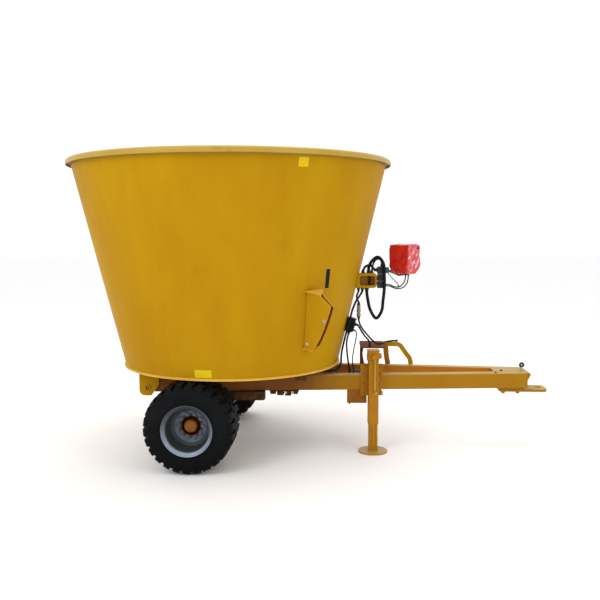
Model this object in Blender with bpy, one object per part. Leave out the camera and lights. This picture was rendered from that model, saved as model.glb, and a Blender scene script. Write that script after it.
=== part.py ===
# Trailed vertical feed mixer wagon, one tapered tub with one upright mixing screw.
# Metres, +Z up, +X towards the towing eye, ground at z = 0.
# Lengths along X are measured from the screw's axis; the empty "base" carries everything
# and shifts it so that the origin lies under the middle of the wagon.

import math

import bmesh
import bpy
from mathutils import Matrix, Vector

GAP = 0.0003                      # between faces that touch

# Tub
RIM_RADIUS = 1.200                # outside of the wall at its top
FOOT_RADIUS = 0.838               # outside of the wall at its foot
WALL_BOTTOM_Z = 0.655
WALL_TOP_Z = 2.160
WALL_THICKNESS = 0.010
LIP_THICKNESS = 0.006
LIP_RISE = 0.024                  # straight part above the wall
LIP_CURL_RADIUS = 0.021
LIP_DROP = 0.018                  # straight end that hangs outside
LIP_ARC_STEPS = 4
FLOOR_THICKNESS = 0.010
FLOOR_OVERHANG = 0.013
TUB_SEGMENTS = 72
WALL_STRIP_STEPS = 4              # of pieces shaped to the wall

# Mixing screw
SCREW_FLOOR_CLEARANCE = 0.012
COLUMN_RADIUS = 0.160
COLUMN_TOP_RADIUS = 0.110
COLUMN_SPIGOT_RADIUS = 0.110      # stands on the gearbox's flange in the floor
COLUMN_HEIGHT = 1.060
COLUMN_CAP_HEIGHT = 0.060
COLUMN_SEGMENTS = 48
FLIGHT_TURNS = 2.25
FLIGHT_HEIGHT = 0.960
FLIGHT_FOOT_RADIUS = 0.745
FLIGHT_TOP_RADIUS = 0.360
FLIGHT_THICKNESS = 0.012
FLIGHT_STEPS_PER_TURN = 48
BLADE_REACH = 0.075               # mixing blades beyond the flight's edge
BLADE_ROOT = 0.070
BLADE_WIDTH = 0.110
BLADE_THICKNESS = 0.010
BLADE_TURNS = (0.18, 0.58, 0.98, 1.38, 1.78)

# Gearbox and driveline
GEARBOX_RADIUS = 0.205
GEARBOX_HEIGHT = 0.225
INPUT_AXIS_Z = 0.520
INPUT_HOUSING_RADIUS = 0.088
INPUT_HOUSING_END_X = 0.500
INPUT_FLANGE_RADIUS = 0.105
INPUT_FLANGE_WIDTH = 0.030
SHAFT_RADIUS = 0.0225
SHAFT_COUPLING_RADIUS = 0.040
SHAFT_COUPLING_LENGTH = 0.090
SHAFT_END_X = 1.330
SHAFT_CLEARANCE = GAP
BEARING_HALF = (0.030, 0.060)
BEARING_RISE = 0.055              # above the shaft's axis

# Chassis and drawbar
BEAM_HEIGHT = 0.118
BEAM_WIDTH = 0.080
BEAM_BOTTOM_Z = 0.467
BEAM_REAR_X = -0.540
BEAM_FRONT_X = 2.283
BEAM_REAR_Y = 0.3950              # outer face at the rear end, from the centre plane
BEAM_FRONT_Y = 0.1290             # outer face at the front end
BEARER_WIDTH = 0.080
BEARER_HALF_LENGTH = 0.500
BEARER_REAR_X = -0.440
BEARER_FRONT_X = 0.570
CROSS_X = 0.985
CROSS_LENGTH = 0.150
CROSS_HEIGHT = 0.104
CROSS_INSET = 0.002               # inside the beams' outer faces
NOSE_LENGTH = 0.235
NOSE_PLATE = 0.012
TONGUE_REACH = 0.178              # ahead of the beams
TONGUE_ROOT = 0.190               # under the beams
TONGUE_HALF_WIDTH = 0.085
TONGUE_THICKNESS = 0.022
TONGUE_PACKER = 0.018
TONGUE_HOLE_INSET = 0.059         # from the tongue's front edge
TONGUE_HOLE_RADIUS = 0.026
RING_INSET = 0.033                # from the beams' front ends
RING_RADIUS = 0.0150
RING_ROD_RADIUS = 0.0085
RING_BASE = 0.010
RING_BASE_HALF = (0.012, 0.008)
REAR_LUG_X = (-0.655, -0.505)
REAR_LUG_Z = (0.442, 0.612)
REAR_LUG_HOLE = (-0.592, 0.500)
REAR_LUG_HOLE_RADIUS = 0.016
REAR_LUG_THICKNESS = 0.014
REAR_LUG_CORNER = 0.042
REAR_LUG_SLANT = 0.060

# Axle and wheels
AXLE_X = -0.1835
TYRE_RADIUS = 0.3180
TYRE_TREAD_WIDTH = 0.340
TYRE_SECTION_WIDTH = 0.400
TYRE_CENTRE_Y = 0.742
TYRE_SHOULDER_DROP = 0.0045
TYRE_BEAD_RADIUS = 0.1560
TYRE_BEAD_INSET = 0.016           # beads inside the rim's flanges
TYRE_LUG_COUNT = 26               # along each shoulder
TYRE_LUG_SHARE = 0.68             # of the way from one lug to the next
TYRE_LUG_HEIGHT = 0.020
TYRE_LUG_FOOT = 0.034             # down the shoulder, below the tread
TYRE_LUG_TAPER = 0.006
TYRE_RIB_HALF = 0.050             # closed middle of the tread
TYRE_GROOVE = 0.010               # between the middle and the lugs
WHEEL_SEGMENTS = 2 * TYRE_LUG_COUNT
RIM_FLANGE_RADIUS = 0.1800
RIM_WIDTH = 0.424
RIM_SHEET = 0.006
DISC_Y = 0.792                    # outer face of the wheel disc
DISC_THICKNESS = 0.010
DISC_STEP_RADIUS = 0.105
DISC_STEP = 0.012
HUB_RADIUS = 0.070
HUB_FLANGE_RADIUS = 0.092
HUB_FLANGE_THICKNESS = 0.014
HUB_LENGTH = 0.100
HUB_CAP_RADIUS = 0.046
HUB_CAP_LENGTH = 0.027
HUB_CAP_EDGE = 0.008
HUB_LIP = 0.004                   # the hub's end in front of the disc
HUB_SEGMENTS = 24
AXLE_SIZE = 0.080
STUB_RADIUS = 0.030
STUB_CLEARANCE = GAP
STUB_INSET = 0.020                # behind the disc's outer face
AXLE_TYRE_CLEARANCE = 0.030
BRACKET_REAR_X = -0.330
BRACKET_FRONT_X = 0.289
BRACKET_SLANT_X = 0.264
BRACKET_FOOT_Z = 0.400

# Parking jack
JACK_X = 1.102
JACK_TUBE = 0.076
JACK_WALL = 0.005
JACK_BOTTOM_Z = 0.218
JACK_TOP_Z = 0.766
JACK_HEAD_HEIGHT = 0.018
JACK_HEAD_MARGIN = 0.004
JACK_LEG = JACK_TUBE - 2 * JACK_WALL - 2 * GAP
JACK_LEG_INSIDE = 0.250           # leg inside the tube with the foot down
JACK_FOOT_RADIUS = 0.110
JACK_FOOT_THICKNESS = 0.012
JACK_PLATE_X = (1.011, 1.181)
JACK_PLATE_Z = (0.425, 0.668)
JACK_PLATE_THICKNESS = 0.010
CRANK_ROD_RADIUS = 0.006
CRANK_BOSS_RADIUS = 0.020
CRANK_BOSS_LENGTH = 0.030
CRANK_BOSS_Z = 0.735
CRANK_DROP = 0.260
CRANK_GRIP = 0.070
CRANK_ROD_OFFSET = 0.006          # of the hanging rod from the boss's axis
CRANK_SEAT = 0.004                # of the rod and the grip in what carries them

# Guard over the driveline and the hose rest on it
GUARD_PLATE_X = (1.010, 1.200)
GUARD_PLATE_Y = (-0.100, 0.238)
GUARD_PLATE_Z = 0.772
GUARD_PLATE_THICKNESS = 0.009
GUARD_LEG_WIDTH = 0.040
GUARD_LEG_THICKNESS = 0.008
GUARD_LEG_Y = 0.190
GUARD_BRACE_FOOT_X = (1.014, 1.052)
GUARD_REAR_LEG_FOOT_X = 1.228
GUARD_FRONT_LEG_FOOT_X = 1.432
GUARD_KNEE = (0.115, 0.085)       # where the front strap bends down, behind its foot, below and above
GUARD_FOOT_HALF = 0.018

# Counter knife, at the front on the near side
KNIFE_AZIMUTH = -47.4             # degrees, where its plates meet the wall at KNIFE_ROOT_Z
KNIFE_ROOT_Z = 1.040
KNIFE_HEADING = -28.0             # degrees, the way its plates point
KNIFE_LEAN = 0.20                 # sideways run of its plates per metre down
KNIFE_PLATE_Z = (0.845, 1.256)
KNIFE_SHELF_END = (0.136, 1.234)  # along the heading, height
KNIFE_OUTER_TOP = (0.212, 1.162)
KNIFE_OUTER_FOOT = (0.030, 0.833)
KNIFE_PLATE_THICKNESS = 0.008
KNIFE_THICKNESS = 0.026
KNIFE_SLOT = KNIFE_THICKNESS + 2 * GAP
KNIFE_WALL_GAP = 0.0005           # the straight plates on the slightly bulging wall
KNIFE_SHELF_THICKNESS = 0.012
KNIFE_SHELF_MARGIN = 0.018
KNIFE_SHELF_REACH = (0.060, 0.095)   # lower and upper shelf, out from the wall
KNIFE_SHELF_DROP = 0.240          # the shelves' fall per metre outwards
KNIFE_SHELF_EDGE = 0.012
KNIFE_SHELF_SINK = 0.004          # of the shelves' undersides below the plates' ends
KNIFE_TIP = (-0.125, 1.010)
KNIFE_EDGE_INSET = 0.022          # blade behind the plates' outer corner
KNIFE_SLIT_Z = (0.872, 1.172)
KNIFE_SLIT_WIDTH = 0.034
KNIFE_SLIT_CLEARANCE = 0.014
KNIFE_SLIT_DEPTH = (-0.200, 0.130)   # of its cut, along the heading
KNIFE_EDGE_STEPS = 6              # of the edges cut to the wall
KNIFE_BLADE_ROOTS = (0.030, 0.020)   # its straight lower and upper parts through the wall

# Sight strip above the counter knife
SIGHT_AZIMUTH = -39.7
SIGHT_Z = (1.275, 1.412)
SIGHT_WIDTH = 0.034
SIGHT_THICKNESS = 0.004

# Discharge door on the far side, sliding up the tub's slope
DOOR_AZIMUTH = 60.0
DOOR_SILL = 0.012                 # door's lower edge above the wall's foot, along the slope
DOOR_WIDTH = 0.600
DOOR_HEIGHT = 0.440
DOOR_THICKNESS = 0.008
DOOR_STANDOFF = 0.0125            # back of the door in front of the wall
DOOR_OVERLAP = 0.030              # of the door over the opening's edges
DOOR_CUT = (-0.300, 0.100)        # depth of the opening's cut, in and out
DOOR_LUG_SEAT = 0.002
RAIL_CLEARANCE = 0.005
RAIL_BACK = 0.028
RAIL_LIP = 0.006
RAIL_HOLD = 0.020                 # lip over the door's edge
RAIL_LENGTH = 0.920
ROD_RADIUS = 0.0125
BARREL_RADIUS = 0.026
BARREL_CLEARANCE = GAP
BARREL_START = 0.940              # along the slope from the wall's foot
BARREL_LENGTH = 0.520
BARREL_CAP = 0.030
ROD_INSIDE = 0.040
DOOR_LUG_HEIGHT = 0.030
DOOR_LUG_WIDTH = 0.060
CYLINDER_FOOT = 0.060
CYLINDER_STANDOFF = 0.045         # the cylinder's axis in front of the wall

# Hose bracket, valve box and weigh indicator at the tub's front
# (a reach runs along X from the wall at the bracket's foot)
HOSE_PLANE_Y = -0.120
BRACKET_REACH = 0.1676
BRACKET_Z = (1.236, 1.350)
BRACKET_SHEET = 0.008
BRACKET_DEPTH = 0.056
BRACKET_WINDOW_REACH = (0.0356, 0.1516)
BRACKET_WINDOW_Z = (1.256, 1.328)
BRACKET_CORNER = 0.030
CLAMP_GAP = 0.0005
CLAMP_LENGTH = 0.0605
CLAMP_Z = (1.236, 1.401)
CLAMP_THICKNESS = 0.034
ARM_RADIUS = 0.011
ARM_SEAT = 0.010                  # of the arm inside the clamp
ARM_END = 0.030                   # beyond the indicator's middle
ARM_PLATE_HALF = (0.035, 0.030)
INDICATOR_REACH = 0.3776
INDICATOR_Z = (1.345, 1.572)
INDICATOR_TURN = 50.0             # degrees, about Z
INDICATOR_DEPTH = 0.165
INDICATOR_WIDTH = 0.180
INDICATOR_TAPER = 0.62
INDICATOR_TAPER_Z = 1.400
VALVE_AZIMUTH = -7.6
VALVE_Z = (0.909, 1.014)
VALVE_WIDTH = 0.075
VALVE_DEPTH = 0.066
FITTING_REACH = 0.0701            # ahead of the wall at its middle
FITTING_Z = (1.018, 1.104)
FITTING_RADIUS = 0.016

HOSE_DIAMETER = 0.024
LONG_HOSE_DIAMETER = 0.016
THIN_HOSE_DIAMETER = 0.014
ARCH_DIAMETER = 0.012
CABLE_DIAMETER = 0.009
ROUTE_READINGS = 12               # between two chosen points
HOSE_POINT_SPACING = 2.5          # diameters

# Colours: red, green, blue as linear values, then roughness and metallic
PAINT = (0.52, 0.29, 0.012, 0.42, 0.0)
SCREW_PAINT = (0.42, 0.24, 0.03, 0.45, 0.2)
CAST_IRON = (0.06, 0.055, 0.05, 0.6, 0.5)
BRIGHT_STEEL = (0.55, 0.54, 0.52, 0.3, 1.0)
RUBBER = (0.012, 0.012, 0.012, 0.8, 0.0)
RIM_SILVER = (0.42, 0.42, 0.40, 0.4, 0.8)
HUB_RUST = (0.28, 0.09, 0.02, 0.6, 0.3)
COVER_RED = (0.42, 0.012, 0.012, 0.35, 0.0)
DARK_PLASTIC = (0.02, 0.022, 0.025, 0.5, 0.0)
CABLE_GREY = (0.12, 0.12, 0.12, 0.6, 0.0)


for old in list(bpy.data.objects):
    bpy.data.objects.remove(old, do_unlink=True)

LIP_OUTER = RIM_RADIUS + 2 * LIP_CURL_RADIUS
TONGUE_FRONT_X = BEAM_FRONT_X + TONGUE_REACH
TONGUE_REAR_X = BEAM_FRONT_X - TONGUE_ROOT
BASE_X = (LIP_OUTER - TONGUE_FRONT_X) / 2
base = bpy.data.objects.new("base", None)
base.location = (BASE_X, 0.0, 0.0)
bpy.context.scene.collection.objects.link(base)


# Shared modelling steps

def finish_material(name, values):
    material = bpy.data.materials.new(name)
    material.use_nodes = True
    shader = material.node_tree.nodes["Principled BSDF"]
    red, green, blue, roughness, metallic = values
    shader.inputs["Base Color"].default_value = (red, green, blue, 1.0)
    shader.inputs["Roughness"].default_value = roughness
    shader.inputs["Metallic"].default_value = metallic
    return material


def add_object(name, shape, values, smooth=False, parent=base, place=(0.0, 0.0, 0.0), turn=0.0):
    """Makes one object of a bmesh that is given in the base's coordinates around its place."""
    bmesh.ops.remove_doubles(shape, verts=shape.verts, dist=1e-6)
    bmesh.ops.recalc_face_normals(shape, faces=shape.faces)
    mesh = bpy.data.meshes.new(name)
    shape.to_mesh(mesh)
    shape.free()
    if smooth:
        mesh.shade_smooth()
        mesh.set_sharp_from_angle(angle=math.radians(35))
    part = bpy.data.objects.new(name, mesh)
    part.location = place
    part.rotation_euler = (0.0, 0.0, turn)
    part.parent = parent
    mesh.materials.append(finish_material(name + "_finish", values))
    bpy.context.scene.collection.objects.link(part)
    return part


def block(low, high):
    """A box between two corners."""
    shape = bmesh.new()
    bmesh.ops.create_cube(shape, size=1.0)
    size = [b - a for a, b in zip(low, high)]
    middle = [(a + b) / 2 for a, b in zip(low, high)]
    bmesh.ops.scale(shape, vec=size, verts=shape.verts)
    bmesh.ops.translate(shape, vec=middle, verts=shape.verts)
    return shape


def prism(outline, first, last, to_space):
    """Extrudes a flat outline from first to last; to_space(a, b, t) gives a point."""
    shape = bmesh.new()
    ring = [shape.verts.new(to_space(a, b, first)) for a, b in outline]
    face = shape.faces.new(ring)
    grown = bmesh.ops.extrude_face_region(shape, geom=[face])
    raised = [v for v in grown["geom"] if isinstance(v, bmesh.types.BMVert)]
    origin = Vector(to_space(0.0, 0.0, first))
    step = Vector(to_space(0.0, 0.0, last)) - origin
    bmesh.ops.translate(shape, vec=step, verts=raised)
    return shape


def in_xz(a, b, t):
    return (a, t, b)


def in_xy(a, b, t):
    return (a, b, t)


def in_yz(a, b, t):
    return (t, a, b)


def turned(profile, segments, axis=(0.0, 0.0, 1.0), centre=(0.0, 0.0, 0.0)):
    """Spins a closed profile of (radius, height along the axis) points about the axis."""
    shape = bmesh.new()
    along = Vector(axis)
    out = Vector((1.0, 0.0, 0.0)) if abs(along.x) < 0.5 else Vector((0.0, 0.0, 1.0))
    centre = Vector(centre)
    ring = [shape.verts.new(centre + out * radius + along * height) for radius, height in profile]
    edges = [shape.edges.new((ring[i - 1], ring[i])) for i in range(len(ring))]
    bmesh.ops.spin(shape, geom=ring + edges, cent=centre, axis=along, angle=math.tau,
                   steps=segments, use_merge=True)
    bmesh.ops.remove_doubles(shape, verts=shape.verts, dist=1e-5)
    return shape


def arc(centre, radius, start, end, steps):
    """Points of an arc, angles in degrees."""
    points = []
    for i in range(steps + 1):
        angle = math.radians(start + (end - start) * i / steps)
        points.append((centre[0] + radius * math.cos(angle), centre[1] + radius * math.sin(angle)))
    return points


def cut(target, shape, name, parent=base):
    """Takes a shape out of an object with a Boolean and a hidden cutter."""
    bmesh.ops.remove_doubles(shape, verts=shape.verts, dist=1e-6)
    bmesh.ops.recalc_face_normals(shape, faces=shape.faces)
    mesh = bpy.data.meshes.new(name)
    shape.to_mesh(mesh)
    shape.free()
    cutter = bpy.data.objects.new(name, mesh)
    cutter.hide_render = True
    cutter.display_type = "WIRE"
    cutter.parent = parent
    bpy.context.scene.collection.objects.link(cutter)
    boolean = target.modifiers.new(name, "BOOLEAN")
    boolean.operation = "DIFFERENCE"
    boolean.object = cutter


def join_shapes(first, second, name, parent=base):
    """Adds a shape to an object with a Boolean union and a hidden tool object."""
    bmesh.ops.remove_doubles(second, verts=second.verts, dist=1e-6)
    bmesh.ops.recalc_face_normals(second, faces=second.faces)
    mesh = bpy.data.meshes.new(name)
    second.to_mesh(mesh)
    second.free()
    tool = bpy.data.objects.new(name, mesh)
    tool.hide_render = True
    tool.display_type = "WIRE"
    tool.parent = parent
    bpy.context.scene.collection.objects.link(tool)
    boolean = first.modifiers.new(name, "BOOLEAN")
    boolean.operation = "UNION"
    boolean.object = tool


def smooth_route(points, spacing):
    """Reads evenly spaced points from a smooth curve; the first and last spans stay straight."""
    route = [Vector(p) for p in points]
    dense = []
    for i in range(1, len(route) - 2):
        a, b, c, d = route[i - 1:i + 3]
        for k in range(ROUTE_READINGS):
            t = k / ROUTE_READINGS
            dense.append(0.5 * (2 * b + (c - a) * t + (2 * a - 5 * b + 4 * c - d) * t ** 2
                                + (3 * b - a - 3 * c + d) * t ** 3))
    dense.append(route[-2])
    run = [0.0]
    for before, after in zip(dense, dense[1:]):
        run.append(run[-1] + (after - before).length)
    count = max(4, round(run[-1] / spacing))
    fine = [route[0]]
    k = 0
    for i in range(count + 1):
        target = run[-1] * i / count
        while k < len(run) - 2 and run[k + 1] < target:
            k += 1
        share = (target - run[k]) / (run[k + 1] - run[k])
        fine.append(dense[k].lerp(dense[k + 1], share))
    return fine + [route[-1]]


def tube(name, points, diameter, values):
    """A round hose or cable along a route, with closed ends."""
    curve = bpy.data.curves.new(name, "CURVE")
    curve.dimensions = "3D"
    curve.bevel_depth = diameter / 2
    curve.bevel_resolution = 2
    curve.use_fill_caps = True
    spline = curve.splines.new("POLY")
    fine = smooth_route(points, HOSE_POINT_SPACING * diameter)
    spline.points.add(len(fine) - 1)
    for point, place in zip(spline.points, fine):
        point.co = (*place, 1.0)
    curve.materials.append(finish_material(name + "_finish", values))
    part = bpy.data.objects.new(name, curve)
    part.parent = base
    bpy.context.scene.collection.objects.link(part)


def wall_radius(z):
    """Outside radius of the tub's wall at a height."""
    share = (z - WALL_BOTTOM_Z) / (WALL_TOP_Z - WALL_BOTTOM_Z)
    return FOOT_RADIUS + (RIM_RADIUS - FOOT_RADIUS) * share


def beam_face_y(x):
    """Distance of a beam's outer face from the centre plane."""
    return BEAM_REAR_Y - BEAM_TAPER * (x - BEAM_REAR_X)


BEAM_TAPER = (BEAM_REAR_Y - BEAM_FRONT_Y) / (BEAM_FRONT_X - BEAM_REAR_X)
BEAM_TOP_Z = BEAM_BOTTOM_Z + BEAM_HEIGHT
FLOOR_TOP_Z = WALL_BOTTOM_Z - GAP
FLOOR_BOTTOM_Z = FLOOR_TOP_Z - FLOOR_THICKNESS
SLOPE = math.atan2(RIM_RADIUS - FOOT_RADIUS, WALL_TOP_Z - WALL_BOTTOM_Z)


# Tub: a cone of sheet, its rolled lip and its floor plate

wall = add_object("tub_wall", turned([
    (FOOT_RADIUS, WALL_BOTTOM_Z), (RIM_RADIUS, WALL_TOP_Z),
    (RIM_RADIUS - WALL_THICKNESS, WALL_TOP_Z), (FOOT_RADIUS - WALL_THICKNESS, WALL_BOTTOM_Z),
], TUB_SEGMENTS), PAINT, smooth=True)

lip_foot_z = WALL_TOP_Z + GAP
lip_middle = RIM_RADIUS - LIP_THICKNESS / 2 + LIP_CURL_RADIUS
lip_curl_z = lip_foot_z + LIP_RISE
outer_curl = arc((lip_middle, lip_curl_z), LIP_CURL_RADIUS + LIP_THICKNESS / 2, 180, 0, LIP_ARC_STEPS)
inner_curl = arc((lip_middle, lip_curl_z), LIP_CURL_RADIUS - LIP_THICKNESS / 2, 0, 180, LIP_ARC_STEPS)
lip_end_z = lip_curl_z - LIP_DROP
lip_profile = [(RIM_RADIUS - LIP_THICKNESS, lip_foot_z)] + outer_curl
lip_profile += [(outer_curl[-1][0], lip_end_z), (inner_curl[0][0], lip_end_z)] + inner_curl
lip_profile += [(RIM_RADIUS, lip_foot_z)]
add_object("tub_lip", turned(lip_profile, TUB_SEGMENTS), PAINT, smooth=True)

add_object("tub_floor", turned([
    (0.0, FLOOR_BOTTOM_Z), (FOOT_RADIUS + FLOOR_OVERHANG, FLOOR_BOTTOM_Z),
    (FOOT_RADIUS + FLOOR_OVERHANG, FLOOR_TOP_Z), (0.0, FLOOR_TOP_Z),
], TUB_SEGMENTS), PAINT, smooth=True)


# Mixing screw: a tapered column with a shrinking spiral flight and blades on its edge

SCREW_Z = FLOOR_TOP_Z + SCREW_FLOOR_CLEARANCE
spigot_foot = GAP - SCREW_FLOOR_CLEARANCE
add_object("screw_column", turned([
    (0.0, spigot_foot), (COLUMN_SPIGOT_RADIUS, spigot_foot), (COLUMN_SPIGOT_RADIUS, 0.0),
    (COLUMN_RADIUS, 0.0), (COLUMN_TOP_RADIUS, COLUMN_HEIGHT),
    (COLUMN_TOP_RADIUS * 0.5, COLUMN_HEIGHT + COLUMN_CAP_HEIGHT),
    (0.0, COLUMN_HEIGHT + COLUMN_CAP_HEIGHT),
], COLUMN_SEGMENTS), SCREW_PAINT, smooth=True, place=(0.0, 0.0, SCREW_Z))


def column_radius(height):
    return COLUMN_RADIUS + (COLUMN_TOP_RADIUS - COLUMN_RADIUS) * height / COLUMN_HEIGHT


def flight_radius(turn):
    share = turn / FLIGHT_TURNS
    return FLIGHT_FOOT_RADIUS + (FLIGHT_TOP_RADIUS - FLIGHT_FOOT_RADIUS) * share


def flight_height(turn):
    return FLIGHT_HEIGHT * turn / FLIGHT_TURNS


def screw_flight():
    """The spiral: four corners of its section at each step, bridged along the helix."""
    shape = bmesh.new()
    steps = round(FLIGHT_TURNS * FLIGHT_STEPS_PER_TURN)
    rings = []
    for i in range(steps + 1):
        turn = FLIGHT_TURNS * i / steps
        angle = math.tau * turn
        height = flight_height(turn)
        ring = []
        for radius, lift in (
            (column_radius(height) + 2 * GAP, 0.0), (flight_radius(turn), 0.0),
            (flight_radius(turn), FLIGHT_THICKNESS),
            (column_radius(height) + 2 * GAP, FLIGHT_THICKNESS),
        ):
            place = (radius * math.cos(angle), radius * math.sin(angle), height + lift)
            ring.append(shape.verts.new(place))
        rings.append(ring)
    for before, after in zip(rings, rings[1:]):
        for k in range(4):
            shape.faces.new((before[k], before[k - 1], after[k - 1], after[k]))
    shape.faces.new(rings[0])
    shape.faces.new(reversed(rings[-1]))
    return shape


flight = add_object("screw_flight", screw_flight(), SCREW_PAINT, smooth=True,
                    place=(0.0, 0.0, SCREW_Z))


def mixing_blade(turn):
    """A slanted blade plate, fixed to the flight near its edge and reaching past it."""
    edge = flight_radius(turn)
    outline = [(edge - BLADE_ROOT, -BLADE_WIDTH / 2), (edge + BLADE_REACH, -BLADE_WIDTH * 0.1),
               (edge + BLADE_REACH * 0.8, BLADE_WIDTH * 0.25), (edge - BLADE_ROOT, BLADE_WIDTH / 2)]
    lift = flight_height(turn) + FLIGHT_THICKNESS * 0.5
    shape = prism(outline, lift, lift + BLADE_THICKNESS, in_xy)
    bmesh.ops.rotate(shape, cent=(0.0, 0.0, 0.0), matrix=Matrix.Rotation(math.tau * turn, 3, "Z"),
                     verts=shape.verts)
    bmesh.ops.translate(shape, vec=(0.0, 0.0, SCREW_Z), verts=shape.verts)
    return shape


for number, turn in enumerate(BLADE_TURNS, 1):
    join_shapes(flight, mixing_blade(turn), "blade_shape_%d" % number)


# Gearbox under the floor and the shaft that drives it from the front

gearbox_top_z = FLOOR_BOTTOM_Z - GAP
gearbox = add_object("gearbox", turned([
    (0.0, gearbox_top_z - GEARBOX_HEIGHT), (GEARBOX_RADIUS * 0.8, gearbox_top_z - GEARBOX_HEIGHT),
    (GEARBOX_RADIUS, gearbox_top_z - GEARBOX_HEIGHT * 0.8), (GEARBOX_RADIUS, gearbox_top_z),
    (0.0, gearbox_top_z),
], COLUMN_SEGMENTS), CAST_IRON, smooth=True)
join_shapes(gearbox, turned([
    (0.0, GEARBOX_RADIUS * 0.5), (INPUT_HOUSING_RADIUS, GEARBOX_RADIUS * 0.5),
    (INPUT_HOUSING_RADIUS, INPUT_HOUSING_END_X - INPUT_FLANGE_WIDTH),
    (INPUT_FLANGE_RADIUS, INPUT_HOUSING_END_X - INPUT_FLANGE_WIDTH),
    (INPUT_FLANGE_RADIUS, INPUT_HOUSING_END_X), (0.0, INPUT_HOUSING_END_X),
], 32, axis=(1.0, 0.0, 0.0), centre=(0.0, 0.0, INPUT_AXIS_Z)), "input_housing_shape")

shaft_start = INPUT_HOUSING_END_X + GAP
coupling_end = shaft_start + SHAFT_COUPLING_LENGTH
add_object("drive_shaft", turned([
    (0.0, shaft_start), (SHAFT_COUPLING_RADIUS, shaft_start), (SHAFT_COUPLING_RADIUS, coupling_end),
    (SHAFT_RADIUS, coupling_end), (SHAFT_RADIUS, SHAFT_END_X), (0.0, SHAFT_END_X),
], 24, axis=(1.0, 0.0, 0.0)), BRIGHT_STEEL, smooth=True, place=(0.0, 0.0, INPUT_AXIS_Z))

cross_top_z = BEAM_BOTTOM_Z - GAP
bearing_x, bearing_y = BEARING_HALF
bearing = add_object("shaft_bearing", block(
    (CROSS_X - bearing_x, -bearing_y, cross_top_z + GAP),
    (CROSS_X + bearing_x, bearing_y, INPUT_AXIS_Z + BEARING_RISE)), CAST_IRON)
cut(bearing, turned([
    (0.0, CROSS_X - CROSS_LENGTH), (SHAFT_RADIUS + SHAFT_CLEARANCE, CROSS_X - CROSS_LENGTH),
    (SHAFT_RADIUS + SHAFT_CLEARANCE, CROSS_X + CROSS_LENGTH), (0.0, CROSS_X + CROSS_LENGTH),
], 24, axis=(1.0, 0.0, 0.0), centre=(0.0, 0.0, INPUT_AXIS_Z)), "shaft_bore")


# Chassis: two long beams that close in towards the front, with bearers under the tub

def beam(name, side):
    rear, front = beam_face_y(BEAM_REAR_X), beam_face_y(BEAM_FRONT_X)
    outline = [(BEAM_REAR_X, side * rear), (BEAM_FRONT_X, side * front),
               (BEAM_FRONT_X, side * (front - BEAM_WIDTH)), (BEAM_REAR_X, side * (rear - BEAM_WIDTH))]
    add_object(name, prism(outline, BEAM_BOTTOM_Z, BEAM_TOP_Z, in_xy), PAINT)


SIDES = (("near", -1), ("far", 1))
for side_name, side in SIDES:
    beam("beam_" + side_name, side)

for bearer_name, x in (("bearer_rear", BEARER_REAR_X), ("bearer_front", BEARER_FRONT_X)):
    add_object(bearer_name, block(
        (x - BEARER_WIDTH / 2, -BEARER_HALF_LENGTH, BEAM_TOP_Z + GAP),
        (x + BEARER_WIDTH / 2, BEARER_HALF_LENGTH, FLOOR_BOTTOM_Z - GAP)), PAINT)

cross_half = beam_face_y(CROSS_X + CROSS_LENGTH / 2) - CROSS_INSET
add_object("cross_member", block(
    (CROSS_X - CROSS_LENGTH / 2, -cross_half, cross_top_z - CROSS_HEIGHT),
    (CROSS_X + CROSS_LENGTH / 2, cross_half, cross_top_z)), PAINT)

nose_rear_x = BEAM_FRONT_X - NOSE_LENGTH
nose_inner = [beam_face_y(x) - BEAM_WIDTH - GAP for x in (nose_rear_x, BEAM_FRONT_X)]
nose_half = beam_face_y(BEAM_FRONT_X)
nose_front_x = BEAM_FRONT_X + GAP
add_object("nose", prism([
    (nose_rear_x, -nose_inner[0]), (nose_front_x, -nose_inner[1]), (nose_front_x, -nose_half),
    (nose_front_x + NOSE_PLATE, -nose_half), (nose_front_x + NOSE_PLATE, nose_half),
    (nose_front_x, nose_half), (nose_front_x, nose_inner[1]), (nose_rear_x, nose_inner[0]),
], BEAM_BOTTOM_Z, BEAM_TOP_Z, in_xy), PAINT)

tongue_top_z = BEAM_BOTTOM_Z - GAP - TONGUE_PACKER
tongue = add_object("tongue", prism([
    (TONGUE_REAR_X, BEAM_BOTTOM_Z - GAP), (BEAM_FRONT_X, BEAM_BOTTOM_Z - GAP),
    (BEAM_FRONT_X, tongue_top_z), (TONGUE_FRONT_X, tongue_top_z),
    (TONGUE_FRONT_X, tongue_top_z - TONGUE_THICKNESS),
    (TONGUE_REAR_X + TONGUE_PACKER * 2, tongue_top_z - TONGUE_THICKNESS),
    (TONGUE_REAR_X, tongue_top_z),
], -TONGUE_HALF_WIDTH, TONGUE_HALF_WIDTH, in_xz), PAINT)
cut(tongue, turned([
    (0.0, 0.0), (TONGUE_HOLE_RADIUS, 0.0), (TONGUE_HOLE_RADIUS, BEAM_BOTTOM_Z),
    (0.0, BEAM_BOTTOM_Z)], 32, centre=(TONGUE_FRONT_X - TONGUE_HOLE_INSET, 0.0, 0.0)), "tongue_hole")

ring_x = BEAM_FRONT_X - RING_INSET
ring_z = BEAM_TOP_Z + GAP + RING_BASE + RING_RADIUS
ring = add_object("hose_ring", turned(
    arc((RING_RADIUS, 0.0), RING_ROD_RADIUS, 0, 315, 7), 20, axis=(0.0, 1.0, 0.0),
    centre=(ring_x, 0.0, ring_z)), PAINT, smooth=True)
base_half_x, base_half_y = RING_BASE_HALF
join_shapes(ring, block(
    (ring_x - base_half_x, -base_half_y, BEAM_TOP_Z + GAP),
    (ring_x + base_half_x, base_half_y, ring_z - RING_RADIUS)), "ring_base_shape")

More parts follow.
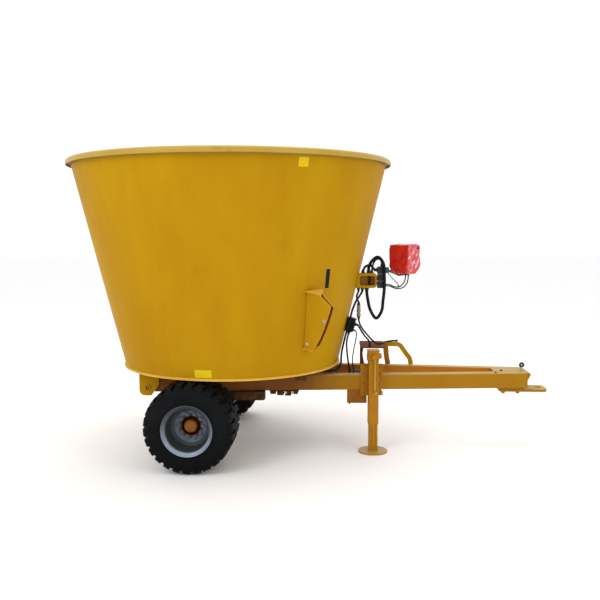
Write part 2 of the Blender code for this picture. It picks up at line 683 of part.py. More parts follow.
for side_name, side in SIDES:
    lug_y = [side * (beam_face_y(BEAM_REAR_X) + GAP + t) for t in (0.0, REAR_LUG_THICKNESS)]
    x0, x1 = REAR_LUG_X
    z0, z1 = REAR_LUG_Z
    outline = [(x0, z1)] + arc((x0 + REAR_LUG_CORNER, z0 + REAR_LUG_CORNER), REAR_LUG_CORNER,
                               180, 270, 5)
    outline += [(x1 - REAR_LUG_SLANT, z0), (x1, z0 + REAR_LUG_SLANT * 1.4), (x1, z1)]
    lug = add_object("rear_lug_" + side_name, prism(outline, min(lug_y), max(lug_y), in_xz), PAINT)
    cut(lug, turned([
        (0.0, -1.0), (REAR_LUG_HOLE_RADIUS, -1.0), (REAR_LUG_HOLE_RADIUS, 1.0), (0.0, 1.0)],
        24, axis=(0.0, 1.0, 0.0), centre=(REAR_LUG_HOLE[0], 0.0, REAR_LUG_HOLE[1])),
        "rear_lug_hole_" + side_name)


# Axle under the beams, held by a plate bracket on each side

axle_inner_half = TYRE_CENTRE_Y - TYRE_SECTION_WIDTH / 2 - AXLE_TYRE_CLEARANCE
hub_inner_y = DISC_Y - DISC_THICKNESS - GAP - HUB_FLANGE_THICKNESS - HUB_LENGTH
axle = add_object("axle", block(
    (AXLE_X - AXLE_SIZE / 2, -axle_inner_half, TYRE_RADIUS - AXLE_SIZE / 2),
    (AXLE_X + AXLE_SIZE / 2, axle_inner_half, TYRE_RADIUS + AXLE_SIZE / 2)), PAINT)
stub_end = DISC_Y - STUB_INSET
join_shapes(axle, turned([
    (0.0, -stub_end), (STUB_RADIUS, -stub_end), (STUB_RADIUS, stub_end), (0.0, stub_end)],
    HUB_SEGMENTS, axis=(0.0, 1.0, 0.0), centre=(AXLE_X, 0.0, TYRE_RADIUS)), "stub_shape")

axle_top_z = TYRE_RADIUS + AXLE_SIZE / 2 + GAP
bracket_top_z = BEAM_BOTTOM_Z - GAP
for side_name, side in SIDES:
    middle = beam_face_y(AXLE_X) - BEAM_WIDTH / 2
    half = BEAM_WIDTH * 0.42
    outline = [(BRACKET_REAR_X, bracket_top_z), (AXLE_X - AXLE_SIZE / 2, axle_top_z),
               (AXLE_X + AXLE_SIZE / 2, axle_top_z), (AXLE_X + AXLE_SIZE, BRACKET_FOOT_Z),
               (BRACKET_SLANT_X, BRACKET_FOOT_Z), (BRACKET_FRONT_X, bracket_top_z)]
    add_object("axle_bracket_" + side_name, prism(
        outline, side * middle - half, side * middle + half, in_xz), PAINT)


# Wheels: each has a hub, a deep dished rim and a wide tyre, all about the axle's line

def tyre_shape(side):
    """A tyre with a row of lugs on each shoulder, raised from its casing by an extrusion."""
    half = TYRE_SECTION_WIDTH / 2
    tread = TYRE_TREAD_WIDTH / 2
    floor = TYRE_RADIUS - TYRE_LUG_HEIGHT
    bead_half = RIM_WIDTH / 2 - RIM_SHEET - TYRE_BEAD_INSET
    lug_inner = TYRE_RIB_HALF + TYRE_GROOVE
    # Radius and distance from the tyre's middle, then the same corner where a lug is raised
    section = [
        (TYRE_BEAD_RADIUS + GAP, bead_half, None),
        (RIM_FLANGE_RADIUS, bead_half + TYRE_LUG_TAPER, None),
        ((TYRE_RADIUS + TYRE_BEAD_RADIUS) / 2, half, None),
        (TYRE_RADIUS - TYRE_LUG_FOOT, half - TYRE_LUG_TAPER * 1.3,
         (TYRE_RADIUS - TYRE_LUG_FOOT + TYRE_LUG_TAPER, half - TYRE_LUG_TAPER * 0.6)),
        (floor, tread, (TYRE_RADIUS - TYRE_SHOULDER_DROP, tread + TYRE_LUG_TAPER * 0.6)),
        (floor, lug_inner, (TYRE_RADIUS, lug_inner + TYRE_LUG_TAPER)),
        (TYRE_RADIUS, TYRE_RIB_HALF, None)]
    last_lug = len(section) - 2
    flank_rows = 3
    rows = [(r, -across, raised) for r, across, raised in section]
    rows += [(r, across, raised) for r, across, raised in reversed(section)]
    pitch = math.tau / TYRE_LUG_COUNT
    spread = (TYRE_LUG_SHARE - 0.5) / 2
    shape = bmesh.new()

    def corner(radius, across, angle):
        return Vector((radius * math.sin(angle), side * TYRE_CENTRE_Y + across,
                       radius * math.cos(angle)))

    rings = []
    for number in range(WHEEL_SEGMENTS):
        even_angle = math.tau * number / WHEEL_SEGMENTS
        lug_angle = even_angle + pitch * (-spread if number % 2 == 0 else spread)
        ring = []
        for i, (r, across, _) in enumerate(rows):
            on_flank = min(i, len(rows) - 1 - i) < flank_rows
            ring.append(shape.verts.new(corner(r, across, even_angle if on_flank else lug_angle)))
        rings.append(ring)
    lug_faces = []
    for number, ring in enumerate(rings):
        after = rings[(number + 1) % len(rings)]
        faces = [shape.faces.new((ring[i - 1], ring[i], after[i], after[i - 1]))
                 for i in range(len(rows))]
        if number % 2 == 0:
            lug_faces.append([faces[last_lug - 1], faces[last_lug]])
            lug_faces.append([faces[len(rows) - last_lug], faces[len(rows) - last_lug + 1]])
    for pair in lug_faces:
        grown = bmesh.ops.extrude_face_region(shape, geom=pair)
        for vert in grown["geom"]:
            if not isinstance(vert, bmesh.types.BMVert):
                continue
            radius = math.hypot(vert.co.x, vert.co.z)
            across = vert.co.y - side * TYRE_CENTRE_Y
            r, y, raised = min(rows, key=lambda row: math.hypot(row[0] - radius, row[1] - across))
            vert.co = corner(raised[0], math.copysign(raised[1], y), math.atan2(vert.co.x, vert.co.z))
        bmesh.ops.delete(shape, geom=[f for f in pair if f.is_valid], context="FACES_ONLY")
    return shape


def wheel(side_name, side):
    out = (0.0, float(side), 0.0)
    place = (AXLE_X, 0.0, TYRE_RADIUS)
    y = TYRE_CENTRE_Y
    add_object("tyre_" + side_name, tyre_shape(side), RUBBER, smooth=True, place=place)

    edge = RIM_WIDTH / 2
    seat = TYRE_BEAD_RADIUS
    inside = seat - RIM_SHEET
    add_object("rim_" + side_name, turned([
        (RIM_FLANGE_RADIUS, y + edge), (RIM_FLANGE_RADIUS, y + edge - RIM_SHEET),
        (seat, y + edge - RIM_SHEET), (seat, y - edge + RIM_SHEET),
        (RIM_FLANGE_RADIUS, y - edge + RIM_SHEET), (RIM_FLANGE_RADIUS, y - edge),
        (inside, y - edge), (inside, DISC_Y - DISC_THICKNESS),
        (DISC_STEP_RADIUS, DISC_Y - DISC_THICKNESS),
        (HUB_RADIUS + GAP, DISC_Y - DISC_THICKNESS), (HUB_RADIUS + GAP, DISC_Y),
        (DISC_STEP_RADIUS, DISC_Y), (DISC_STEP_RADIUS + DISC_STEP, DISC_Y + DISC_STEP),
        (inside, DISC_Y + DISC_STEP), (inside, y + edge),
    ], WHEEL_SEGMENTS, axis=out), RIM_SILVER, smooth=True, place=place)

    back = DISC_Y - DISC_THICKNESS - GAP
    bore = STUB_RADIUS + STUB_CLEARANCE
    flange_back = back - HUB_FLANGE_THICKNESS
    bore_end = stub_end + HUB_CAP_EDGE
    add_object("hub_" + side_name, turned([
        (bore, hub_inner_y), (HUB_RADIUS * 0.85, hub_inner_y), (HUB_RADIUS, flange_back),
        (HUB_FLANGE_RADIUS, flange_back), (HUB_FLANGE_RADIUS, back), (HUB_RADIUS, back),
        (HUB_RADIUS, DISC_Y + HUB_LIP), (HUB_CAP_RADIUS, DISC_Y + HUB_LIP),
        (HUB_CAP_RADIUS, DISC_Y + HUB_CAP_LENGTH - HUB_CAP_EDGE),
        (HUB_CAP_RADIUS * 0.7, DISC_Y + HUB_CAP_LENGTH), (0.0, DISC_Y + HUB_CAP_LENGTH),
        (0.0, bore_end), (bore, bore_end),
    ], HUB_SEGMENTS, axis=out), HUB_RUST, smooth=True, place=place)


for side_name, side in SIDES:
    wheel(side_name, side)


# Parking jack on the near beam's outer face, with its leg down on the ground

beam_angle = math.atan(BEAM_TAPER)
jack_frame = bpy.data.objects.new("jack_frame", None)
jack_frame.parent = base
jack_frame.location = (JACK_X, -(beam_face_y(JACK_X) + GAP), 0.0)
jack_frame.rotation_euler = (0.0, 0.0, beam_angle)
bpy.context.scene.collection.objects.link(jack_frame)

plate_low, plate_high = [x - JACK_X for x in JACK_PLATE_X]
add_object("jack_plate", block(
    (plate_low, -JACK_PLATE_THICKNESS, JACK_PLATE_Z[0]), (plate_high, 0.0, JACK_PLATE_Z[1])),
    PAINT, parent=jack_frame)

jack_y = -JACK_PLATE_THICKNESS - GAP - JACK_TUBE / 2
half_tube = JACK_TUBE / 2
jack_tube = add_object("jack_tube", block(
    (-half_tube, -half_tube, JACK_BOTTOM_Z), (half_tube, half_tube, JACK_TOP_Z)),
    PAINT, parent=jack_frame, place=(0.0, jack_y, 0.0))
half_bore = half_tube - JACK_WALL
cut(jack_tube, block(
    (-half_bore, jack_y - half_bore, JACK_BOTTOM_Z - 0.1),
    (half_bore, jack_y + half_bore, JACK_TOP_Z - JACK_WALL)), "jack_bore", parent=jack_frame)
head_half = half_tube + JACK_HEAD_MARGIN
join_shapes(jack_tube, block(
    (-head_half, jack_y - head_half, JACK_TOP_Z - JACK_WALL / 2),
    (head_half, jack_y + head_half, JACK_TOP_Z + JACK_HEAD_HEIGHT)), "jack_head_shape",
    parent=jack_frame)

half_leg = JACK_LEG / 2
leg = add_object("jack_leg", block(
    (-half_leg, -half_leg, JACK_FOOT_THICKNESS / 2),
    (half_leg, half_leg, JACK_BOTTOM_Z + JACK_LEG_INSIDE)),
    BRIGHT_STEEL, parent=jack_frame, place=(0.0, jack_y, 0.0))
join_shapes(leg, turned([
    (0.0, 0.0), (JACK_FOOT_RADIUS, 0.0), (JACK_FOOT_RADIUS, JACK_FOOT_THICKNESS),
    (0.0, JACK_FOOT_THICKNESS)], 40, centre=(0.0, jack_y, 0.0)), "foot_shape", parent=jack_frame)

crank_y = jack_y - half_tube - GAP
crank = add_object("jack_crank", turned([
    (0.0, 0.0), (CRANK_BOSS_RADIUS, 0.0), (CRANK_BOSS_RADIUS, CRANK_BOSS_LENGTH),
    (0.0, CRANK_BOSS_LENGTH)], 20, axis=(0.0, -1.0, 0.0)), BRIGHT_STEEL, smooth=True,
    parent=jack_frame, place=(0.0, crank_y, CRANK_BOSS_Z))
rod_y = crank_y - CRANK_BOSS_LENGTH + CRANK_ROD_RADIUS + CRANK_SEAT
join_shapes(crank, turned([
    (0.0, CRANK_BOSS_Z - CRANK_DROP), (CRANK_ROD_RADIUS, CRANK_BOSS_Z - CRANK_DROP),
    (CRANK_ROD_RADIUS, CRANK_BOSS_Z), (0.0, CRANK_BOSS_Z)], 12,
    centre=(CRANK_ROD_OFFSET, rod_y, 0.0)), "crank_rod_shape", parent=jack_frame)
join_shapes(crank, turned([
    (0.0, -CRANK_SEAT), (CRANK_ROD_RADIUS * 1.6, -CRANK_SEAT), (CRANK_ROD_RADIUS * 1.6, CRANK_GRIP),
    (0.0, CRANK_GRIP)], 12, axis=(0.0, -1.0, 0.0),
    centre=(CRANK_ROD_OFFSET, rod_y, CRANK_BOSS_Z - CRANK_DROP)), "crank_grip_shape", parent=jack_frame)


# Guard over the shaft's front end: a rest plate, a brace and two bent straps

guard_top = GUARD_PLATE_Z
guard_low = GUARD_PLATE_Z - GUARD_PLATE_THICKNESS
foot_z = BEAM_TOP_Z + GAP
add_object("guard_plate", block(
    (GUARD_PLATE_X[0], GUARD_PLATE_Y[0], guard_low), (GUARD_PLATE_X[1], GUARD_PLATE_Y[1], guard_top)),
    PAINT)
strap_y = (GUARD_LEG_Y - GUARD_LEG_THICKNESS / 2, GUARD_LEG_Y + GUARD_LEG_THICKNESS / 2)

brace_x0, brace_x1 = GUARD_BRACE_FOOT_X
brace_top = guard_low - GAP
brace_middle = (foot_z + brace_top) / 2
brace_width = brace_x1 - brace_x0
add_object("guard_brace", prism([
    (brace_x0, foot_z), (brace_x1, foot_z), (brace_x0 + brace_width * 0.6, brace_middle),
    (brace_x1, brace_top), (brace_x0, brace_top)], strap_y[0], strap_y[1], in_xz), PAINT)

rear_x = GUARD_REAR_LEG_FOOT_X
plate_end = GUARD_PLATE_X[1] + GAP
width = GUARD_LEG_WIDTH
add_object("guard_strap_rear", prism([
    (plate_end, guard_top), (plate_end, guard_top - width), (rear_x - width * 0.1, guard_top - width * 1.6),
    (rear_x + width * 0.15, foot_z), (rear_x + width * 0.85, foot_z),
    (rear_x + width * 0.55, guard_top - width * 1.4), (rear_x + width * 0.1, guard_top - width * 0.35),
], strap_y[0], strap_y[1], in_xz), PAINT)

front_x = GUARD_FRONT_LEG_FOOT_X
strap_gap = GUARD_LEG_THICKNESS + GAP
knee_low, knee_high = GUARD_KNEE
foot_half = GUARD_FOOT_HALF
add_object("guard_strap_front", prism([
    (plate_end, guard_top), (plate_end, guard_top - width), (front_x - knee_low, guard_top - width),
    (front_x - foot_half * 1.7, guard_top - width * 2.9), (front_x - foot_half, foot_z),
    (front_x + foot_half, foot_z), (front_x + foot_half * 0.45, guard_top - width * 2.7),
    (front_x - knee_high, guard_top),
], strap_y[0] + strap_gap, strap_y[1] + strap_gap, in_xz), PAINT)


# Counter knife: two plates with shelves outside the wall, and a blade through a slit in it

heading = math.radians(KNIFE_HEADING)
along_knife = Vector((math.cos(heading), math.sin(heading), 0.0))
across_knife = Vector((-math.sin(heading), math.cos(heading), 0.0))
root_angle = math.radians(KNIFE_AZIMUTH)
root_radius = wall_radius(KNIFE_ROOT_Z)
knife_root = Vector((root_radius * math.cos(root_angle), root_radius * math.sin(root_angle), 0.0))


def in_knife(s, z, t):
    """A point s along the knife's heading, at height z, t across its leaning plane."""
    lean = KNIFE_LEAN * (KNIFE_ROOT_Z - z)
    return knife_root + along_knife * s + across_knife * (t + lean) + Vector((0.0, 0.0, z))


def wall_reach(z, t):
    """How far along the heading the wall's outside lies, at a height and an offset across."""
    start = knife_root + across_knife * (t + KNIFE_LEAN * (KNIFE_ROOT_Z - z))
    half_b = start.dot(along_knife)
    c = start.length_squared - (wall_radius(z) + GAP) ** 2
    return -half_b + math.sqrt(half_b ** 2 - c)


plate_outer = KNIFE_SLOT / 2 + KNIFE_PLATE_THICKNESS
shelf_outer = plate_outer + KNIFE_SHELF_MARGIN


def knife_plate(first, last):
    """One plate of the holder; its inner edge follows the wall, clear of it all across."""
    low, high = KNIFE_PLATE_Z
    inner = []
    for i in range(KNIFE_EDGE_STEPS + 1):
        z = high + (low - high) * i / KNIFE_EDGE_STEPS
        inner.append((max(wall_reach(z, first), wall_reach(z, last)) + KNIFE_WALL_GAP, z))
    return prism(inner + [KNIFE_OUTER_FOOT, KNIFE_OUTER_TOP, KNIFE_SHELF_END], first, last, in_knife)


def knife_shelf(z, reach):
    """A plate across both holder plates that falls outwards; its inner edge follows the wall."""
    shape = bmesh.new()
    top = z + KNIFE_SHELF_THICKNESS
    middle = wall_reach(top, 0.0)
    inner = []
    for i in range(KNIFE_EDGE_STEPS + 1):
        t = -shelf_outer + 2 * shelf_outer * i / KNIFE_EDGE_STEPS
        s = middle
        for _ in range(4):
            s = wall_reach(top - KNIFE_SHELF_DROP * (s - middle), t + KNIFE_LEAN * KNIFE_SHELF_THICKNESS)
        inner.append((s + KNIFE_WALL_GAP, t))
    outline = inner + [(inner[-1][0] + KNIFE_SHELF_EDGE, shelf_outer), (middle + reach, plate_outer),
                       (middle + reach, -plate_outer), (inner[0][0] + KNIFE_SHELF_EDGE, -shelf_outer)]
    ring = [shape.verts.new(in_knife(s, z - KNIFE_SHELF_DROP * (s - middle), t)) for s, t in outline]
    face = shape.faces.new(ring)
    grown = bmesh.ops.extrude_face_region(shape, geom=[face])
    raised = [v for v in grown["geom"] if isinstance(v, bmesh.types.BMVert)]
    bmesh.ops.translate(shape, vec=(0.0, 0.0, KNIFE_SHELF_THICKNESS), verts=raised)
    return shape


holder = add_object("knife_holder", knife_plate(-plate_outer, -KNIFE_SLOT / 2), PAINT)
join_shapes(holder, knife_plate(KNIFE_SLOT / 2, plate_outer), "holder_plate_shape")
SHELF_NAMES = ("holder_foot_shape", "holder_top_shape")
for z, reach, shelf_name in zip(KNIFE_PLATE_Z, KNIFE_SHELF_REACH, SHELF_NAMES):
    join_shapes(holder, knife_shelf(z - KNIFE_SHELF_SINK, reach), shelf_name)

slit_low, slit_high = KNIFE_SLIT_Z
slit_in, slit_out = KNIFE_SLIT_DEPTH
blade_margin = KNIFE_SLIT_CLEARANCE
lower_root, upper_root = KNIFE_BLADE_ROOTS
blade_half = KNIFE_THICKNESS / 2
add_object("counter_knife", prism([
    KNIFE_TIP, (wall_reach(slit_low, 0.0) - upper_root, slit_low + blade_margin),
    (wall_reach(slit_low, 0.0) + lower_root, slit_low + blade_margin),
    (KNIFE_OUTER_TOP[0] - KNIFE_EDGE_INSET, KNIFE_OUTER_TOP[1] - blade_margin * 2),
    (wall_reach(slit_high, 0.0) + upper_root, slit_high - blade_margin),
    (wall_reach(slit_high, 0.0) - lower_root, slit_high - blade_margin),
], -blade_half, blade_half, in_knife), BRIGHT_STEEL)
cut(wall, prism([
    (slit_in, slit_low), (slit_out, slit_low), (slit_out, slit_high), (slit_in, slit_high)],
    -KNIFE_SLIT_WIDTH / 2, KNIFE_SLIT_WIDTH / 2, in_knife), "knife_slit")


# Frames that lean with the wall: u runs round the tub, w up its slope, n out of it

def wall_frame(name, azimuth):
    """An empty on the wall's foot, its axes turned to the wall's slope at an azimuth."""
    angle = math.radians(azimuth)
    out = Vector((math.cos(angle), math.sin(angle), 0.0))
    side = Vector((-math.sin(angle), math.cos(angle), 0.0))
    up = Vector((0.0, 0.0, math.cos(SLOPE))) + out * math.sin(SLOPE)
    normal = side.cross(up)
    frame = bpy.data.objects.new(name, None)
    frame.parent = base
    frame.matrix_local = Matrix.Translation(out * FOOT_RADIUS + Vector((0, 0, WALL_BOTTOM_Z))) @ (
        Matrix((side, up, normal)).transposed().to_4x4())
    bpy.context.scene.collection.objects.link(frame)
    return frame


def wall_depth(u, w, clearance=GAP):
    """The wall's outside surface in a wall frame, u round and w up: its n, plus a clearance."""
    n = 0.0
    for _ in range(12):
        z = WALL_BOTTOM_Z + w * math.cos(SLOPE) - n * math.sin(SLOPE)
        reach = math.sqrt(wall_radius(z) ** 2 - u ** 2)
        n += (reach - (FOOT_RADIUS + w * math.sin(SLOPE) + n * math.cos(SLOPE))) * math.cos(SLOPE)
    return n + clearance


def on_slope(z):
    """Height above the wall's foot, measured along the slope."""
    return (z - WALL_BOTTOM_Z) / math.cos(SLOPE)


def close_rings(shape, rings):
    """Bridges rings of points, one after another, and closes both ends."""
    for before, after in zip(rings, rings[1:]):
        for k in range(len(before)):
            shape.faces.new((before[k], before[k - 1], after[k - 1], after[k]))
    shape.faces.new(rings[0])
    shape.faces.new(reversed(rings[-1]))


def wall_strip(u_low, u_high, w_low, w_high, top_n):
    """A piece that lies on the wall between four edges, its back shaped to the wall."""
    shape = bmesh.new()
    rings = []
    for w in (w_low, (w_low + w_high) / 2, w_high):
        ring = []
        for i in range(WALL_STRIP_STEPS + 1):
            u = u_low + (u_high - u_low) * i / WALL_STRIP_STEPS
            ring.append(shape.verts.new((u, w, wall_depth(u, w))))
        ring += [shape.verts.new((u_high, w, top_n)), shape.verts.new((u_low, w, top_n))]
        rings.append(ring)
    close_rings(shape, rings)
    return shape


# Sight strip: a dark window strip in the wall, above the counter knife

sight_frame = wall_frame("sight_frame", SIGHT_AZIMUTH)
add_object("sight_strip", wall_strip(
    -SIGHT_WIDTH / 2, SIGHT_WIDTH / 2, on_slope(SIGHT_Z[0]), on_slope(SIGHT_Z[1]),
    SIGHT_THICKNESS), DARK_PLASTIC, parent=sight_frame)


# Discharge door, its rails and its cylinder

door_frame = wall_frame("door_frame", DOOR_AZIMUTH)
half_door = DOOR_WIDTH / 2
door_front = DOOR_STANDOFF + DOOR_THICKNESS
door_top = DOOR_SILL + DOOR_HEIGHT
opening_half = half_door - DOOR_OVERLAP
cut(wall, block(
    (-opening_half, DOOR_SILL + DOOR_OVERLAP, DOOR_CUT[0]),
    (opening_half, door_top - DOOR_OVERLAP, DOOR_CUT[1])), "door_opening", parent=door_frame)

door = add_object("discharge_door", block(
    (-half_door, DOOR_SILL, DOOR_STANDOFF), (half_door, door_top, door_front)),
    PAINT, parent=door_frame)
rod_n = CYLINDER_STANDOFF
join_shapes(door, block(
    (-DOOR_LUG_WIDTH / 2, door_top - DOOR_LUG_HEIGHT, door_front - DOOR_LUG_SEAT),
    (DOOR_LUG_WIDTH / 2, door_top, rod_n + ROD_RADIUS)), "door_lug_shape", parent=door_frame)


def rail_shape(side):
    """A channel along the door's edge, its back shaped to the wall."""
    inner = half_door + RAIL_CLEARANCE
    outer = inner + RAIL_BACK
    hold = half_door - RAIL_HOLD
    lip_low = door_front + RAIL_CLEARANCE
    lip_high = lip_low + RAIL_LIP
    shape = bmesh.new()
    rings = []
    for i in range(WALL_STRIP_STEPS + 1):
        w = DOOR_SILL + RAIL_LENGTH * i / WALL_STRIP_STEPS
        section = [(inner, lip_low), (hold, lip_low), (hold, lip_high), (outer, lip_high)]
        for k in range(WALL_STRIP_STEPS + 1):
            u = outer + (inner - outer) * k / WALL_STRIP_STEPS
            section.append((u, wall_depth(u, w)))
        rings.append([shape.verts.new((side * u, w, n)) for u, n in section])
    close_rings(shape, rings)
    return shape


for rail_name, side in (("door_rail_front", -1), ("door_rail_rear", 1)):
    add_object(rail_name, rail_shape(side), PAINT, parent=door_frame)

rod_start = door_top + GAP
rod_end = BARREL_START + ROD_INSIDE
add_object("door_rod", turned([
    (0.0, rod_start), (ROD_RADIUS, rod_start), (ROD_RADIUS, rod_end), (0.0, rod_end)],
    24, axis=(0.0, 1.0, 0.0)), BRIGHT_STEEL, smooth=True, parent=door_frame, place=(0.0, 0.0, rod_n))

barrel_end = BARREL_START + BARREL_LENGTH
barrel_bore = ROD_RADIUS + BARREL_CLEARANCE
barrel = add_object("door_cylinder", turned([
    (barrel_bore, BARREL_START), (BARREL_RADIUS, BARREL_START), (BARREL_RADIUS, barrel_end),
    (0.0, barrel_end), (0.0, barrel_end - BARREL_CAP), (barrel_bore, barrel_end - BARREL_CAP)],
    24, axis=(0.0, 1.0, 0.0)), DARK_PLASTIC, smooth=True, parent=door_frame,
    place=(0.0, 0.0, rod_n))
join_shapes(barrel, wall_strip(
    -CYLINDER_FOOT / 2, CYLINDER_FOOT / 2, barrel_end - CYLINDER_FOOT * 0.4,
    barrel_end + CYLINDER_FOOT * 0.3, rod_n), "cylinder_foot_shape",
    parent=door_frame)


# Hose bracket on the tub's front, the clamp on its end and the weigh indicator on an arm

def wall_front_x(z):
    """Outside of the wall in the hoses' plane; above the bracket's foot, where that foot is."""
    return math.sqrt(wall_radius(min(z, BRACKET_Z[0])) ** 2 - HOSE_PLANE_Y ** 2)


front_wall_x = wall_front_x(BRACKET_Z[0])
bracket_end_x = front_wall_x + BRACKET_REACH
near_face_y = HOSE_PLANE_Y - BRACKET_SHEET / 2
plate_back_y = near_face_y + BRACKET_SHEET
far_face_y = near_face_y + BRACKET_DEPTH


def bracket_outline(y, inset):
    """The bracket seen from the side, as far from its edges as inset, rooted on the wall at y."""
    low, high = [z + step for z, step in zip(BRACKET_Z, (inset, -inset))]
    root = [math.sqrt(wall_radius(z) ** 2 - y ** 2) + GAP + inset for z in (low, high)]
    corner = BRACKET_CORNER
    middle_x = bracket_end_x - corner
    return ([(root[0], low)] + arc((middle_x, BRACKET_Z[0] + corner), corner - inset, 270, 360, 5)
            + arc((middle_x, BRACKET_Z[1] - corner), corner - inset, 0, 90, 5) + [(root[1], high)])


hose_bracket = add_object("hose_bracket", prism(
    bracket_outline(plate_back_y, 0.0), near_face_y, plate_back_y, in_xz), PAINT)
join_shapes(hose_bracket, prism(
    bracket_outline(far_face_y, 0.0), plate_back_y - GAP, far_face_y, in_xz), "bracket_box_shape")
cut(hose_bracket, prism(
    bracket_outline(far_face_y, BRACKET_SHEET), plate_back_y, far_face_y - BRACKET_SHEET, in_xz),
    "bracket_hollow")
window_x = [front_wall_x + reach for reach in BRACKET_WINDOW_REACH]
cut(hose_bracket, block(
    (window_x[0], near_face_y - BRACKET_DEPTH, BRACKET_WINDOW_Z[0]),
    (window_x[1], plate_back_y + BRACKET_SHEET, BRACKET_WINDOW_Z[1])), "bracket_window")

clamp_start_x = bracket_end_x + CLAMP_GAP
clamp_end_x = clamp_start_x + CLAMP_LENGTH
clamp_half = CLAMP_THICKNESS / 2
clamp = add_object("cable_clamp", block(
    (clamp_start_x, HOSE_PLANE_Y - clamp_half, CLAMP_Z[0]),
    (clamp_end_x, HOSE_PLANE_Y + clamp_half, CLAMP_Z[1])), DARK_PLASTIC)

indicator_x = front_wall_x + INDICATOR_REACH
indicator_frame = bpy.data.objects.new("indicator_frame", None)
indicator_frame.parent = base
indicator_frame.location = (indicator_x, HOSE_PLANE_Y, 0.0)
indicator_frame.rotation_euler = (0.0, 0.0, math.radians(INDICATOR_TURN))
bpy.context.scene.collection.objects.link(indicator_frame)


def tapered_case():
    """A case, square above and drawn in towards its foot."""
    shape = bmesh.new()
    rings = []
    for z, share in ((INDICATOR_Z[0], INDICATOR_TAPER), (INDICATOR_TAPER_Z, 1.0),
                     (INDICATOR_Z[1], 1.0)):
        x = INDICATOR_DEPTH / 2 * share
        y = INDICATOR_WIDTH / 2 * share
        rings.append([shape.verts.new(p) for p in ((-x, -y, z), (x, -y, z), (x, y, z), (-x, y, z))])
    for low, high in zip(rings, rings[1:]):
        for k in range(4):
            shape.faces.new((low[k - 1], low[k], high[k], high[k - 1]))
    shape.faces.new(reversed(rings[0]))
    shape.faces.new(rings[-1])
    return shape


indicator = add_object("indicator", tapered_case(), COVER_RED, parent=indicator_frame)

arm_z = INDICATOR_Z[0] - GAP - ARM_RADIUS
join_shapes(clamp, turned([
    (0.0, clamp_end_x - ARM_SEAT), (ARM_RADIUS, clamp_end_x - ARM_SEAT),
    (ARM_RADIUS, indicator_x + ARM_END), (0.0, indicator_x + ARM_END)],
    12, axis=(1.0, 0.0, 0.0), centre=(0.0, HOSE_PLANE_Y, arm_z)), "arm_shape")
plate_half_x, plate_half_y = ARM_PLATE_HALF
join_shapes(clamp, block(
    (indicator_x - plate_half_x, HOSE_PLANE_Y - plate_half_y, arm_z),
    (indicator_x + plate_half_x, HOSE_PLANE_Y + plate_half_y, arm_z + ARM_RADIUS)), "arm_plate_shape")

valve_frame = wall_frame("valve_frame", VALVE_AZIMUTH)
add_object("valve_box", wall_strip(
    -VALVE_WIDTH / 2, VALVE_WIDTH / 2, on_slope(VALVE_Z[0]), on_slope(VALVE_Z[1]),
    VALVE_DEPTH), DARK_PLASTIC, parent=valve_frame)

add_object("hose_fitting", turned([
    (0.0, FITTING_Z[0]), (FITTING_RADIUS, FITTING_Z[0]), (FITTING_RADIUS, FITTING_Z[1]),
    (0.0, FITTING_Z[1])], 16,
    centre=(wall_front_x(sum(FITTING_Z) / 2) + FITTING_REACH, HOSE_PLANE_Y, 0.0)),
    BRIGHT_STEEL, smooth=True)


# Hoses and cables: name, diameter, colour and the points of the route, each as its distance
# ahead of the wall at that height, its Y and its Z

